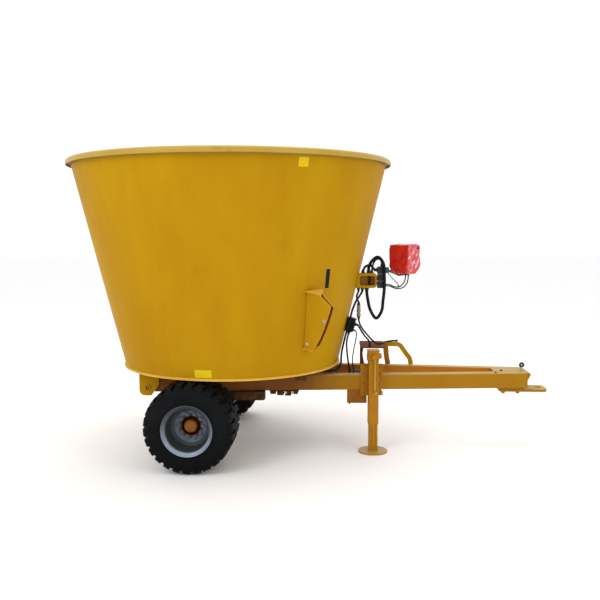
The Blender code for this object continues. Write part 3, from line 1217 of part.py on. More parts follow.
HOSES = (
    ("hose_loop", HOSE_DIAMETER, RUBBER, (
        (0.0898, -0.096, 1.2355), (0.0964, -0.096, 1.208), (0.1141, -0.102, 1.160),
        (0.1559, -0.122, 1.070), (0.2167, -0.142, 1.005), (0.2443, -0.154, 1.060),
        (0.2429, -0.158, 1.140), (0.2326, -0.158, 1.236), (0.2356, -0.158, 1.330),
        (0.2256, -0.150, 1.425), (0.1776, -0.130, 1.476), (0.1276, -0.106, 1.442),
        (0.1036, -0.096, 1.390), (0.1036, -0.096, 1.3505))),
    ("hose_arch_high", ARCH_DIAMETER, RUBBER, (
        (0.1286, -0.096, 1.3505), (0.1286, -0.096, 1.372), (0.1376, -0.096, 1.408),
        (0.1596, -0.102, 1.437), (0.1826, -0.112, 1.440), (0.1996, -0.120, 1.422),
        (0.1996, -0.120, 1.4015))),
    ("hose_arch", ARCH_DIAMETER, RUBBER, (
        (0.0646, -0.120, 1.3505), (0.0646, -0.120, 1.370), (0.0876, -0.120, 1.398),
        (0.1216, -0.120, 1.402), (0.1476, -0.120, 1.380), (0.1677, -0.120, 1.380))),
    ("hose_upper", THIN_HOSE_DIAMETER, RUBBER, (
        (0.0258, -0.120, 1.2355), (0.0319, -0.120, 1.210), (0.0281, -0.120, 1.168),
        (0.0548, -0.120, 1.124), (0.0595, -0.120, 1.1045))),
    ("hose_middle", THIN_HOSE_DIAMETER, RUBBER, (
        (0.0806, -0.120, 1.0175), (0.0861, -0.120, 0.995), (0.1090, -0.118, 0.950),
        (0.1469, -0.110, 0.905), (0.1924, -0.092, 0.862), (0.2361, -0.062, 0.822),
        (0.2730, -0.020, 0.7935), (0.3063, 0.040, 0.7800), (0.3453, 0.110, 0.7800),
        (0.3903, 0.168, 0.7800), (0.4323, 0.1983, 0.7800), (0.4623, 0.1983, 0.7800))),
    ("hose_lower", THIN_HOSE_DIAMETER, RUBBER, (
        (0.0679, -0.129, 0.9546), (0.0914, -0.132, 0.9492), (0.1279, -0.128, 0.905),
        (0.1649, -0.114, 0.864), (0.2026, -0.092, 0.828), (0.2214, -0.076, 0.800),
        (0.2281, -0.076, 0.7725))),
    ("hose_long", LONG_HOSE_DIAMETER, RUBBER, (
        (0.0558, -0.120, 1.2355), (0.0610, -0.120, 1.214), (0.0492, -0.148, 1.180),
        (0.0309, -0.170, 1.140), (0.0179, -0.190, 1.070), (0.0181, -0.200, 0.995),
        (0.0137, -0.207, 0.910), (0.0135, -0.212, 0.816), (0.0170, -0.216, 0.736),
        (0.0290, -0.222, 0.670), (0.0167, -0.230, 0.622), (-0.0379, -0.236, 0.608),
        (-0.1289, -0.238, 0.612), (-0.2084, -0.238, 0.612))),
    ("sensor_hose", THIN_HOSE_DIAMETER, RUBBER, (
        (0.0359, -0.1234, 0.8990), (0.0360, -0.1227, 0.876), (0.0378, -0.128, 0.815),
        (0.0543, -0.130, 0.755), (0.0806, -0.130, 0.680), (0.1199, -0.130, 0.580),
        (0.1533, -0.130, 0.500), (0.1613, -0.130, 0.4672))),
    ("sensor_cable", CABLE_DIAMETER, CABLE_GREY, (
        (0.0682, -0.128, 0.9086), (0.0834, -0.1300, 0.9052), (0.0980, -0.130, 0.880),
        (0.1046, -0.130, 0.820), (0.1076, -0.132, 0.750), (0.1214, -0.138, 0.660),
        (0.1775, -0.146, 0.520), (0.1923, -0.146, 0.4672))),
    ("indicator_cable_1", CABLE_DIAMETER, CABLE_GREY, (
        (0.3796, -0.168, 1.3445), (0.3796, -0.168, 1.322), (0.3636, -0.165, 1.285),
        (0.3336, -0.160, 1.247), (0.3016, -0.150, 1.240), (0.2676, -0.128, 1.258),
        (0.2291, -0.128, 1.258))),
    ("indicator_cable_2", CABLE_DIAMETER, CABLE_GREY, (
        (0.4016, -0.165, 1.3445), (0.4016, -0.165, 1.318), (0.3856, -0.165, 1.272),
        (0.3541, -0.160, 1.226), (0.3150, -0.146, 1.214), (0.2696, -0.114, 1.243),
        (0.2291, -0.114, 1.243))),
)
for hose_name, diameter, colour, route in HOSES:
    tube(hose_name, [(wall_front_x(z) + ahead, y, z) for ahead, y, z in route], diameter, colour)
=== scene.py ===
import math

import bmesh
import bpy
from mathutils import Matrix, Vector
from mathutils import noise as cloth_noise


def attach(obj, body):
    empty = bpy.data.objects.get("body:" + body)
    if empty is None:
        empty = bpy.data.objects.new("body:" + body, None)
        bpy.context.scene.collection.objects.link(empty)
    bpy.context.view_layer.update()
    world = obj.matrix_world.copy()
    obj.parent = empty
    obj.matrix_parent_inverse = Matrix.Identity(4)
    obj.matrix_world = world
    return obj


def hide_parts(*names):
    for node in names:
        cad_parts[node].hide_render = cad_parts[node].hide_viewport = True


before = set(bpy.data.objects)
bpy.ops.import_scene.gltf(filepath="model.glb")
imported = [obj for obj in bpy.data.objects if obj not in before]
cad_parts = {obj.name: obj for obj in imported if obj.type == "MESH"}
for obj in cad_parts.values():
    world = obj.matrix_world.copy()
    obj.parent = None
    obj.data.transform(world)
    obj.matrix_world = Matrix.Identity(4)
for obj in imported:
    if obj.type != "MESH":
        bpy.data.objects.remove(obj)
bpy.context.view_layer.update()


# Camera: on the wagon's right-hand side, turned a little to the left and looking slightly down.
# The focal length is given in pixels of a picture that is 600 pixels wide.

CAMERA_PLACE = (0.2917, -5.8267, 1.6887)
CAMERA_LEFT = 0.0625
CAMERA_DOWN = 0.0954
CAMERA_ROLL = -0.0033
FOCAL_PIXELS = 740.5
PICTURE_PIXELS = 600.0


def add_new(name, add, **settings):
    """Adds one object with Blender's own tool, nothing else selected, and names it."""
    bpy.ops.object.select_all(action="DESELECT")
    add(**settings)
    bpy.context.object.name = name
    return bpy.context.object


camera = add_new("photo_camera", bpy.ops.object.camera_add, location=CAMERA_PLACE)
camera.rotation_euler = (
    Matrix.Rotation(CAMERA_LEFT, 3, "Z") @ Matrix.Rotation(math.pi / 2 - CAMERA_DOWN, 3, "X")
    @ Matrix.Rotation(CAMERA_ROLL, 3, "Z")).to_euler()
camera.data.lens = camera.data.sensor_width * FOCAL_PIXELS / PICTURE_PIXELS
bpy.context.scene.camera = camera


# Hoses and cables: black rubber hydraulic hoses and grey sensor leads, clipped to the tub's front.
# Each is drawn as one smooth line that leaves and enters its fittings straight.

HOSE_READINGS = 8
HOSE_ROUND_STEPS = 6
HOSE_ROUTES = (
    ("hose_loop", 0.024, 0.936, "stiff", (
        (0.4505, -0.096, 1.2355), (0.4505, -0.096, 1.208), (0.4565, -0.102, 1.16),
        (0.4765, -0.122, 1.07), (0.5215, -0.142, 1.005), (0.5625, -0.154, 1.06),
        (0.5735, -0.158, 1.14), (0.5825, -0.158, 1.236), (0.5825, -0.158, 1.33),
        (0.5745, -0.15, 1.425), (0.5345, -0.13, 1.474), (0.4885, -0.106, 1.442),
        (0.4645, -0.096, 1.39), (0.4645, -0.096, 1.3505))),
    ("hose_arch_high", 0.013, 0.205, "medium", (
        (0.4895, -0.096, 1.3505), (0.4895, -0.096, 1.372), (0.4975, -0.096, 1.415),
        (0.5205, -0.102, 1.453), (0.5485, -0.112, 1.456), (0.5635, -0.12, 1.428),
        (0.5635, -0.12, 1.4015))),
    ("hose_arch", 0.018, 0.16, "medium", (
        (0.4205, -0.12, 1.3505), (0.4205, -0.12, 1.368), (0.4405, -0.12, 1.402),
        (0.4805, -0.12, 1.41), (0.5085, -0.12, 1.376), (0.5286, -0.12, 1.376))),
    ("hose_upper", 0.014, 0.137, "medium", (
        (0.3865, -0.12, 1.2355), (0.3865, -0.12, 1.21), (0.3725, -0.12, 1.168),
        (0.3885, -0.12, 1.124), (0.3885, -0.12, 1.1045))),
    ("hose_middle", 0.014, 0.605, "medium", (
        (0.3885, -0.12, 1.0175), (0.3885, -0.12, 0.995), (0.4005, -0.118, 0.95),
        (0.4275, -0.11, 0.905), (0.4625, -0.092, 0.862), (0.4965, -0.062, 0.822),
        (0.5265, -0.02, 0.7935), (0.5565, 0.04, 0.78), (0.5955, 0.11, 0.78),
        (0.6405, 0.168, 0.78), (0.6825, 0.1983, 0.78), (0.7125, 0.1983, 0.78))),
    ("hose_lower", 0.014, 0.239, "medium", (
        (0.3605, -0.129, 0.9546), (0.3827, -0.132, 0.9492), (0.4085, -0.128, 0.905),
        (0.4355, -0.114, 0.864), (0.4645, -0.092, 0.828), (0.4765, -0.076, 0.8),
        (0.4765, -0.076, 0.7725))),
    ("hose_long", 0.016, 0.9, "stiff", (
        (0.4165, -0.12, 1.2355), (0.4165, -0.12, 1.214), (0.3965, -0.148, 1.18),
        (0.3685, -0.17, 1.14), (0.3385, -0.19, 1.07), (0.3205, -0.2, 0.995),
        (0.2955, -0.207, 0.91), (0.2725, -0.212, 0.816), (0.2565, -0.216, 0.736),
        (0.2525, -0.222, 0.67), (0.2285, -0.23, 0.622), (0.1705, -0.236, 0.608),
        (0.0805, -0.238, 0.612), (0.001, -0.238, 0.612))),
    ("sensor_hose", 0.014, 0.437, "medium", (
        (0.315, -0.1234, 0.899), (0.3095, -0.1227, 0.876), (0.2965, -0.128, 0.815),
        (0.2985, -0.13, 0.755), (0.3065, -0.13, 0.68), (0.3215, -0.13, 0.58),
        (0.3355, -0.13, 0.5), (0.3355, -0.13, 0.4672))),
    ("sensor_cable", 0.009, 0.46, "limp", (
        (0.3497, -0.128, 0.9086), (0.364, -0.13, 0.9052), (0.3725, -0.13, 0.88),
        (0.3645, -0.13, 0.82), (0.3505, -0.132, 0.75), (0.3425, -0.138, 0.66),
        (0.3645, -0.146, 0.52), (0.3665, -0.146, 0.4672))),
    ("indicator_cable_1", 0.009, 0.242, "limp", (
        (0.7425, -0.168, 1.3445), (0.7425, -0.168, 1.322), (0.7285, -0.165, 1.28),
        (0.6985, -0.16, 1.25), (0.6625, -0.15, 1.248), (0.6185, -0.128, 1.264),
        (0.5795, -0.128, 1.264))),
    ("indicator_cable_2", 0.009, 0.278, "limp", (
        (0.7625, -0.165, 1.3445), (0.7625, -0.165, 1.318), (0.7505, -0.165, 1.272),
        (0.7165, -0.16, 1.24), (0.6705, -0.146, 1.235), (0.6205, -0.114, 1.252),
        (0.5795, -0.114, 1.252))),
    ("indicator_lead_cable", 0.006, 0.14, "limp", (
        (0.612, -0.1, 1.356), (0.615, -0.099, 1.35), (0.639, -0.108, 1.319),
        (0.669, -0.125, 1.287), (0.685, -0.14, 1.27), (0.69, -0.148, 1.252))),
)


def make_finish(
        name, light, dark, patch, roughness, grime=None, grain=(400.0, 0.0002), wave=None, coat=(0.0, 0.1),
        metallic=0.0, specular=0.3, painted_sheen_stretch=1.0, painted_shade=None, crease_glints=None):
    """A surface in two close shades with uneven gloss; patch is the scale of the shades.

    Grime is (colour, scale, from, to), grain and wave are bumps of (scale, depth), and coat is
    (weight, roughness). The shades are drawn out upwards by the sheen stretch, as painted streaks of
    reflection. A painted shade (axis, start, end, colour) darkens the colour along an axis, and crease
    glints (scale, width, colour) are pale painted highlights along creases."""
    finish = bpy.data.materials.new(name)
    finish.use_nodes = True
    tree = finish.node_tree
    shader = tree.nodes["Principled BSDF"]

    def add(kind, **inputs):
        """One more node, with plain values on some of its inputs."""
        node = tree.nodes.new("ShaderNode" + kind)
        for word, value in inputs.items():
            node.inputs[word.replace("_", " ").title()].default_value = value
        return node

    def link(output, node, socket):
        tree.links.new(output, node.inputs[socket])

    place = add("TexCoord").outputs["Object"]

    def noise(scale, detail, spots=place):
        cloud = add("TexNoise", scale=scale, detail=detail, roughness=0.6)
        link(spots, cloud, "Vector")
        return cloud.outputs["Fac"]

    def spread(value, low, high, to_low, to_high):
        stretch = add("MapRange", from_min=low, from_max=high, to_min=to_low, to_max=to_high)
        link(value, stretch, "Value")
        return stretch.outputs["Result"]

    def blend(share, first, second):
        mix = add("Mix")
        mix.data_type = "RGBA"
        link(share, mix, 0)
        for socket, colour in ((6, first), (7, second)):
            if isinstance(colour, tuple):
                mix.inputs[socket].default_value = (*colour, 1.0)
            else:
                link(colour, mix, socket)
        return mix.outputs[2]

    def work_out(operation, value, by=0.0):
        sums = add("Math")
        sums.operation = operation
        link(value, sums, 0)
        sums.inputs[1].default_value = by
        return sums

    # Stretching the shades upwards paints upright streaks of sheen into the colour.
    drawn_out = add("Mapping", scale=(1.0, 1.0, 1.0 / painted_sheen_stretch))
    link(place, drawn_out, "Vector")
    shades = noise(patch, 5.0, drawn_out.outputs["Vector"])
    colour = blend(spread(shades, 0.3, 0.7, 0.0, 1.0), dark, light)
    if grime:
        grime_colour, grime_scale, grime_from, grime_to = grime
        spots = spread(noise(grime_scale, 8.0), grime_from, grime_to, 0.0, 1.0)
        colour = blend(spots, colour, grime_colour)
    # Painted shade: the colour darkens towards a shade colour along one axis.
    if painted_shade:
        axis, first, last, shade_colour = painted_shade
        split = add("SeparateXYZ")
        link(place, split, "Vector")
        uneven = work_out("MULTIPLY_ADD", noise(11.0, 6.0), 0.8 * abs(last - first))
        link(split.outputs[axis], uneven, 2)
        colour = blend(spread(uneven.outputs["Value"], first, last, 0.0, 1.0), colour, shade_colour)
    # Painted highlight: pale lines where creases would catch the light.
    if crease_glints:
        line_scale, line_width, glint_colour = crease_glints
        centred = work_out("SUBTRACT", noise(line_scale, 1.5), 0.5)
        ridge = work_out("ABSOLUTE", centred.outputs["Value"])
        colour = blend(spread(ridge.outputs["Value"], 0.0, line_width, 1.0, 0.0), colour, glint_colour)
    link(colour, shader, "Base Color")
    link(spread(noise(patch * 4, 4.0), 0.3, 0.7, *roughness), shader, "Roughness")
    for word, value in (
            ("Metallic", metallic), ("Coat Weight", coat[0]), ("Coat Roughness", coat[1]),
            ("Specular IOR Level", specular)):
        shader.inputs[word].default_value = value
    bump = add("Bump", distance=grain[1])
    link(noise(grain[0], 3.0), bump, "Height")
    if wave:
        swell = add("Bump", distance=wave[1])
        link(noise(wave[0], 1.0), swell, "Height")
        link(swell.outputs["Normal"], bump, "Normal")
    link(bump.outputs["Normal"], shader, "Normal")
    return finish


hose_rubber = make_finish(
    "hose_rubber", (0.0095, 0.0095, 0.01), (0.005, 0.005, 0.0055), 12.0, (0.36, 0.52),
    grime=((0.03, 0.027, 0.022), 30.0, 0.6, 0.88), grain=(700.0, 0.0004), specular=0.12)
cable_sheath = make_finish(
    "cable_sheath", (0.024, 0.026, 0.027), (0.013, 0.014, 0.015), 20.0, (0.4, 0.55),
    grime=((0.06, 0.055, 0.045), 60.0, 0.55, 0.75), grain=(900.0, 0.0002), specular=0.22)


def hose_line(points):
    """Close points on a smooth line through the given ones; the end spans stay straight."""
    route = [Vector(p) for p in points]
    line = [route[0]]
    for i in range(1, len(route) - 2):
        a, b, c, d = route[i - 1:i + 3]
        for k in range(HOSE_READINGS):
            t = k / HOSE_READINGS
            line.append(
                0.5 * (2 * b + (c - a) * t + (2 * a - 5 * b + 4 * c - d) * t ** 2
                + (3 * b - a - 3 * c + d) * t ** 3))
    return line + [route[-2], route[-1]]


hoses = {}
for hose_name, thick, long, stiff, route in HOSE_ROUTES:
    hose = add_new(hose_name + "_run", bpy.ops.curve.primitive_bezier_curve_add, location=(0.0, 0.0, 0.0))
    hose.data.splines.clear()
    run = hose.data.splines.new("POLY")
    line = hose_line(route)
    run.points.add(len(line) - 1)
    for knot, spot in zip(run.points, line):
        knot.co = (*spot, 1.0)
    hose.data.bevel_depth = thick / 2
    hose.data.bevel_resolution = HOSE_ROUND_STEPS
    hose.data.use_fill_caps = True
    hose.data.materials.append(cable_sheath if "cable" in hose_name else hose_rubber)
    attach(hose, "wagon")
    if hose_name != "indicator_lead_cable":
        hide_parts(hose_name)
    hoses[hose_name] = (hose, thick, long, stiff, route)


# Hose ends: a crimped steel collar and a hexagon nut on each end of every hydraulic hose.
# They are pressed and turned pieces in plated steel; the thin leads end in moulded glands.

COLLAR_LENGTH = 0.024
COLLAR_WALL = 0.0028
NUT_LENGTH = 0.01
NUT_WALL = 0.0062
GLAND_LENGTH = 0.014
GLAND_WALL = 0.0028


def pick_up(piece):
    """Leaves only this piece selected and active."""
    bpy.ops.object.select_all(action="DESELECT")
    piece.select_set(True)
    bpy.context.view_layer.objects.active = piece


def machine(piece, kind, **settings):
    """Puts one modifier on a piece and applies it."""
    step = piece.modifiers.new(kind.lower(), kind)
    for word, value in settings.items():
        setattr(step, word, value)
    pick_up(piece)
    bpy.ops.object.modifier_apply(modifier=step.name)


def round_edges(piece, width, steps=2, angle=30.0):
    """Breaks the sharp edges of a piece."""
    machine(
        piece, "BEVEL", width=width, segments=steps, limit_method="ANGLE", angle_limit=math.radians(angle),
        use_clamp_overlap=True)


def face_outwards():
    """Turns all faces of the active piece outwards and leaves it in object mode."""
    bpy.ops.object.mode_set(mode="EDIT")
    bpy.ops.mesh.select_all(action="SELECT")
    bpy.ops.mesh.normals_make_consistent(inside=False)
    bpy.ops.object.mode_set(mode="OBJECT")


def turn_piece(name, profile, steps, axis=(0.0, 0.0, 1.0), centre=(0.0, 0.0, 0.0)):
    """Turns a closed profile of (radius, run along the axis) about the axis."""
    piece = add_new(name, bpy.ops.mesh.primitive_circle_add, vertices=len(profile), fill_type="NOTHING")
    along = Vector(axis).normalized()
    out = Vector((1.0, 0.0, 0.0)) if abs(along.x) < 0.5 else Vector((0.0, 0.0, 1.0))
    out = (out - along * out.dot(along)).normalized()
    for corner, (radius, run) in zip(piece.data.vertices, profile):
        corner.co = Vector(centre) + out * radius + along * run
    bpy.ops.object.mode_set(mode="EDIT")
    bpy.ops.mesh.select_all(action="SELECT")
    bpy.ops.mesh.spin(steps=steps, angle=math.tau, center=centre, axis=along)
    bpy.ops.mesh.select_all(action="SELECT")
    bpy.ops.mesh.remove_doubles(threshold=1e-5)
    bpy.ops.mesh.delete_loose(use_verts=True, use_edges=True, use_faces=False)
    face_outwards()
    return piece


def round_bar(name, radius, low, high, steps, axis=(0.0, 0.0, 1.0), centre=(0.0, 0.0, 0.0)):
    """A plain round bar between two runs along its axis."""
    return turn_piece(name, ((0.0, low), (radius, low), (radius, high), (0.0, high)), steps, axis, centre)


def join_pieces(name, pieces):
    """Makes one object of several."""
    bpy.ops.object.select_all(action="DESELECT")
    for piece in pieces:
        piece.select_set(True)
    bpy.context.view_layer.objects.active = pieces[0]
    if len(pieces) > 1:
        bpy.ops.object.join()
    joined = bpy.context.view_layer.objects.active
    joined.name = name
    return joined


def fit(piece, finish, *stands_for, body="wagon", slot="wagon_paint", smooth=35.0):
    """Gives a finished piece its surface and its body, and hides the nodes that it stands for. The slot is
    not used.
    """
    if finish:
        piece.data.materials.clear()
        piece.data.materials.append(finish)
    piece.data.name = piece.name
    pick_up(piece)
    bpy.ops.object.shade_smooth_by_angle(angle=math.radians(smooth))
    machine(piece, "WEIGHTED_NORMAL", keep_sharp=True, weight=50)
    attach(piece, body)
    if stands_for:
        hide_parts(*stands_for)
    return piece


zinc_steel = make_finish(
    "zinc_steel", (0.58, 0.57, 0.54), (0.4, 0.39, 0.36), 25.0, (0.28, 0.45),
    grime=((0.16, 0.12, 0.07), 70.0, 0.6, 0.82), grain=(900.0, 0.00015), metallic=1.0)
black_plastic = make_finish(
    "black_plastic", (0.01, 0.01, 0.0095), (0.0055, 0.0055, 0.0055), 15.0, (0.42, 0.6),
    grime=((0.028, 0.024, 0.016), 40.0, 0.6, 0.88), grain=(1100.0, 0.0002), specular=0.09)
black_steel = make_finish(
    "black_steel", (0.02, 0.019, 0.018), (0.01, 0.01, 0.01), 20.0, (0.35, 0.5),
    grime=((0.1, 0.085, 0.065), 80.0, 0.6, 0.8), grain=(600.0, 0.0003), metallic=0.3)

for hose_name, (hose, thick, long, stiff, route) in hoses.items():
    ends = []
    for tip, inner in ((route[0], route[1]), (route[-1], route[-2])):
        inward = (Vector(inner) - Vector(tip)).normalized()
        radius = thick / 2
        if "cable" in hose_name or (hose_name == "hose_middle" and tip == route[-1]):
            gland = turn_piece(
                "gland", ((radius * 0.6, 0.0), (radius + GLAND_WALL, 0.0),
                (radius + GLAND_WALL, GLAND_LENGTH * 0.4), (radius + GLAND_WALL * 0.5, GLAND_LENGTH * 0.55),
                (radius + GLAND_WALL * 0.4, GLAND_LENGTH * 0.9), (radius * 0.9, GLAND_LENGTH)), 16, inward,
                tip)
            ends.append(gland)
            continue
        nut = turn_piece(
            "nut", ((radius * 0.5, 0.0005), (radius + NUT_WALL, 0.0005), (radius + NUT_WALL, NUT_LENGTH),
            (radius * 0.5, NUT_LENGTH)), 6, inward, tip)
        round_edges(nut, 0.0008, 1)
        ridges = [(radius * 0.8, NUT_LENGTH - 0.001), (radius + COLLAR_WALL * 0.5, NUT_LENGTH - 0.001)]
        for k in range(4):
            run = NUT_LENGTH + (COLLAR_LENGTH - NUT_LENGTH) * k / 4
            ridges += [
                (radius + COLLAR_WALL, run + 0.001), (radius + COLLAR_WALL, run + 0.0022),
                (radius + COLLAR_WALL * 0.55, run + 0.0028), (radius + COLLAR_WALL * 0.55, run + 0.0034)]
        ridges += [(radius + COLLAR_WALL * 0.5, COLLAR_LENGTH), (radius * 0.8, COLLAR_LENGTH)]
        ends += [nut, turn_piece("collar", ridges, 20, inward, tip)]
    ends = fit(
        join_pieces(hose_name + "_ends", ends), black_plastic if "cable" in hose_name else black_steel,
        slot="dark_plastic" if "cable" in hose_name else "bright_steel")


# Tub wall: a cone of ten millimetre sheet, rolled from three plates and welded upright.
# The counter knife's slit and the discharge opening are cut through it; it is sprayed inside and out.

TUB_X = -0.6095
TUB_FOOT_Z, TUB_TOP_Z = 0.655, 2.16
TUB_FOOT_RADIUS, TUB_TOP_RADIUS = 0.838, 1.2
TUB_SHEET = 0.01
TUB_SIDES = 240
TUB_SLOPE = math.atan2(TUB_TOP_RADIUS - TUB_FOOT_RADIUS, TUB_TOP_Z - TUB_FOOT_Z)
KNIFE_AZIMUTH, KNIFE_ROOT_Z, KNIFE_HEADING, KNIFE_LEAN = -47.4, 1.04, -28.0, 0.2
SLIT_Z, SLIT_HALF, SLIT_RUN = (0.872, 1.172), 0.017, (-0.2, 0.13)
DOOR_AZIMUTH, DOOR_HALF, DOOR_LOW, DOOR_HIGH = 60.0, 0.27, 0.042, 0.422
SEAM_AZIMUTHS = (8.0, 128.0, -112.0)

# Tub paint. Its shades are stretched upright into painted streaks of sheen.
wagon_paint = make_finish(
    "wagon_paint", (0.465, 0.258, 0.005), (0.398, 0.196, 0.0036), 2.6, (0.38, 0.5),
    grime=((0.35, 0.178, 0.006), 6.0, 0.6, 0.95), grain=(260.0, 0.0001), wave=(2.2, 0.008), specular=0.02,
    painted_sheen_stretch=4.0)
tub_inside = make_finish(
    "tub_inside", (0.4, 0.215, 0.01), (0.34, 0.18, 0.011), 2.5, (0.34, 0.5),
    grime=((0.24, 0.22, 0.19), 22.0, 0.6, 0.78), grain=(300.0, 0.0003), wave=(2.4, 0.008))
# A paler, glossier copy of the paint for rims and edges: a painted highlight where they catch the light.
edge_highlight_paint = make_finish(
    "edge_highlight_paint", (0.45, 0.285, 0.03), (0.4, 0.245, 0.02), 6.0, (0.28, 0.42),
    grime=((0.3, 0.155, 0.02), 14.0, 0.58, 0.85), grain=(260.0, 0.00015), specular=0.35)
# Bright copy of the paint for lit edges: a painted highlight.
bright_edge_highlight = make_finish(
    "bright_edge_highlight", (0.7, 0.44, 0.06), (0.6, 0.35, 0.035), 9.0, (0.3, 0.45),
    grime=((0.36, 0.185, 0.02), 20.0, 0.6, 0.85), grain=(260.0, 0.00015), specular=0.25)
# Chassis paint. It darkens towards the rear under the tub as painted shade of the tub's shadow.
chassis_paint = make_finish(
    "chassis_paint", (0.365, 0.176, 0.0075), (0.315, 0.14, 0.0055), 2.5, (0.4, 0.55),
    grime=((0.24, 0.105, 0.01), 7.0, 0.62, 0.95), grain=(220.0, 0.0002), specular=0.08,
    painted_shade=(0, 0.42, 0.06, (0.185, 0.068, 0.014)))
# Paler paint for faces that look up: a painted highlight of the light from above. It also darkens under the
# tub as painted shade.
top_highlight_paint = make_finish(
    "top_highlight_paint", (0.43, 0.285, 0.07), (0.36, 0.22, 0.042), 4.0, (0.34, 0.5),
    grime=((0.3, 0.16, 0.022), 14.0, 0.58, 0.9), grain=(220.0, 0.0002), specular=0.25,
    painted_shade=(0, 0.3, 0.06, (0.2, 0.085, 0.022)))
# Dark brown for the parts under the tub and chassis: painted shade of the shadow there, with some dirt.
under_shade_brown = make_finish(
    "under_shade_brown", (0.12, 0.05, 0.014), (0.055, 0.026, 0.01), 9.0, (0.55, 0.75),
    grime=((0.024, 0.016, 0.01), 22.0, 0.48, 0.66), grain=(300.0, 0.0005), specular=0.08)
# A more orange copy of the chassis paint for the beams' inward faces: painted shade of their shaded sides,
# darkening further towards the tub.
inner_shade_orange = make_finish(
    "inner_shade_orange", (0.46, 0.175, 0.014), (0.4, 0.14, 0.011), 5.0, (0.45, 0.6),
    grime=((0.24, 0.085, 0.012), 14.0, 0.58, 0.9), grain=(240.0, 0.0003), specular=0.08,
    painted_shade=(0, 0.66, 0.3, (0.23, 0.066, 0.016)))
guard_brown = make_finish(
    "guard_brown", (0.19, 0.056, 0.014), (0.12, 0.034, 0.009), 22.0, (0.6, 0.75),
    grime=((0.3, 0.13, 0.012), 30.0, 0.6, 0.78), grain=(400.0, 0.0004), specular=0.04)


def paint_zones(piece, finishes, zone):
    """Several surfaces on one piece; zone(face) is the number of the one that a face gets."""
    for finish in finishes:
        piece.data.materials.append(finish)
    for face in piece.data.polygons:
        face.material_index = int(zone(face))


def tub_radius(z):
    """Outside radius of the tub wall at a height."""
    share = (z - TUB_FOOT_Z) / (TUB_TOP_Z - TUB_FOOT_Z)
    return TUB_FOOT_RADIUS + (TUB_TOP_RADIUS - TUB_FOOT_RADIUS) * share


def wall_frame(azimuth):
    """A frame on the wall's foot: u runs round the tub, w up its slope and n out of it."""
    angle = math.radians(azimuth)
    out = Vector((math.cos(angle), math.sin(angle), 0.0))
    side = Vector((-math.sin(angle), math.cos(angle), 0.0))
    up = Vector((0.0, 0.0, math.cos(TUB_SLOPE))) + out * math.sin(TUB_SLOPE)
    place = Vector((TUB_X, 0.0, TUB_FOOT_Z)) + out * TUB_FOOT_RADIUS
    return Matrix.Translation(place) @ Matrix((side, up, side.cross(up))).transposed().to_4x4()


def set_in(piece, place):
    """Moves a piece's mesh by a frame, so that its object stays at the origin."""
    piece.data.transform(place)
    piece.data.update()
    return piece


def block(name, low, high):
    """A block between two corners."""
    middle = [(a + b) / 2 for a, b in zip(low, high)]
    size = [b - a for a, b in zip(low, high)]
    piece = add_new(name, bpy.ops.mesh.primitive_cube_add, size=1.0, location=middle, scale=size)
    bpy.ops.object.transform_apply(location=True, rotation=False, scale=True)
    return piece


def choose(piece, kind, wanted):
    """In edit mode, selects the corners, edges or faces that wanted(part) is true for."""
    bpy.context.tool_settings.mesh_select_mode = [kind == k for k in ("verts", "edges", "faces")]
    bpy.ops.mesh.select_all(action="DESELECT")
    mesh = bmesh.from_edit_mesh(piece.data)
    for part in getattr(mesh, kind):
        if wanted(part):
            part.select_set(True)
    mesh.select_flush_mode()
    bmesh.update_edit_mesh(piece.data)


def round_along(piece, axis, longer, radius, steps=4):
    """Rounds the edges of the active piece that run further than longer along an axis (0, 1, 2)."""
    bpy.ops.object.mode_set(mode="EDIT")
    choose(piece, "edges", lambda e: abs(e.verts[0].co[axis] - e.verts[1].co[axis]) > longer)
    bpy.ops.mesh.bevel(offset=radius, segments=steps, affect="EDGES")
    bpy.ops.object.mode_set(mode="OBJECT")


def cut_out(piece, *tools):
    """Cuts tool shapes out of a piece and throws them away."""
    for tool in tools:
        machine(piece, "BOOLEAN", operation="DIFFERENCE", object=tool, solver="EXACT")
        bpy.data.objects.remove(tool)


def merge_in(piece, *tools):
    """Welds tool shapes to a piece."""
    for tool in tools:
        machine(piece, "BOOLEAN", operation="UNION", object=tool, solver="EXACT")
        bpy.data.objects.remove(tool)


knife_heading = math.radians(KNIFE_HEADING)
knife_along = Vector((math.cos(knife_heading), math.sin(knife_heading), 0.0))
knife_across = Vector((-math.sin(knife_heading), math.cos(knife_heading), 0.0))
knife_root = Vector((math.cos(math.radians(KNIFE_AZIMUTH)), math.sin(math.radians(KNIFE_AZIMUTH)), 0.0))
knife_root = Vector((TUB_X, 0.0, 0.0)) + knife_root * tub_radius(KNIFE_ROOT_Z)
knife_rise = Vector((0.0, 0.0, 1.0)) - knife_across * KNIFE_LEAN
knife_frame = Matrix.Translation(knife_root + knife_across * KNIFE_LEAN * KNIFE_ROOT_Z) @ Matrix(
    (knife_along, knife_across, knife_rise)).transposed().to_4x4()

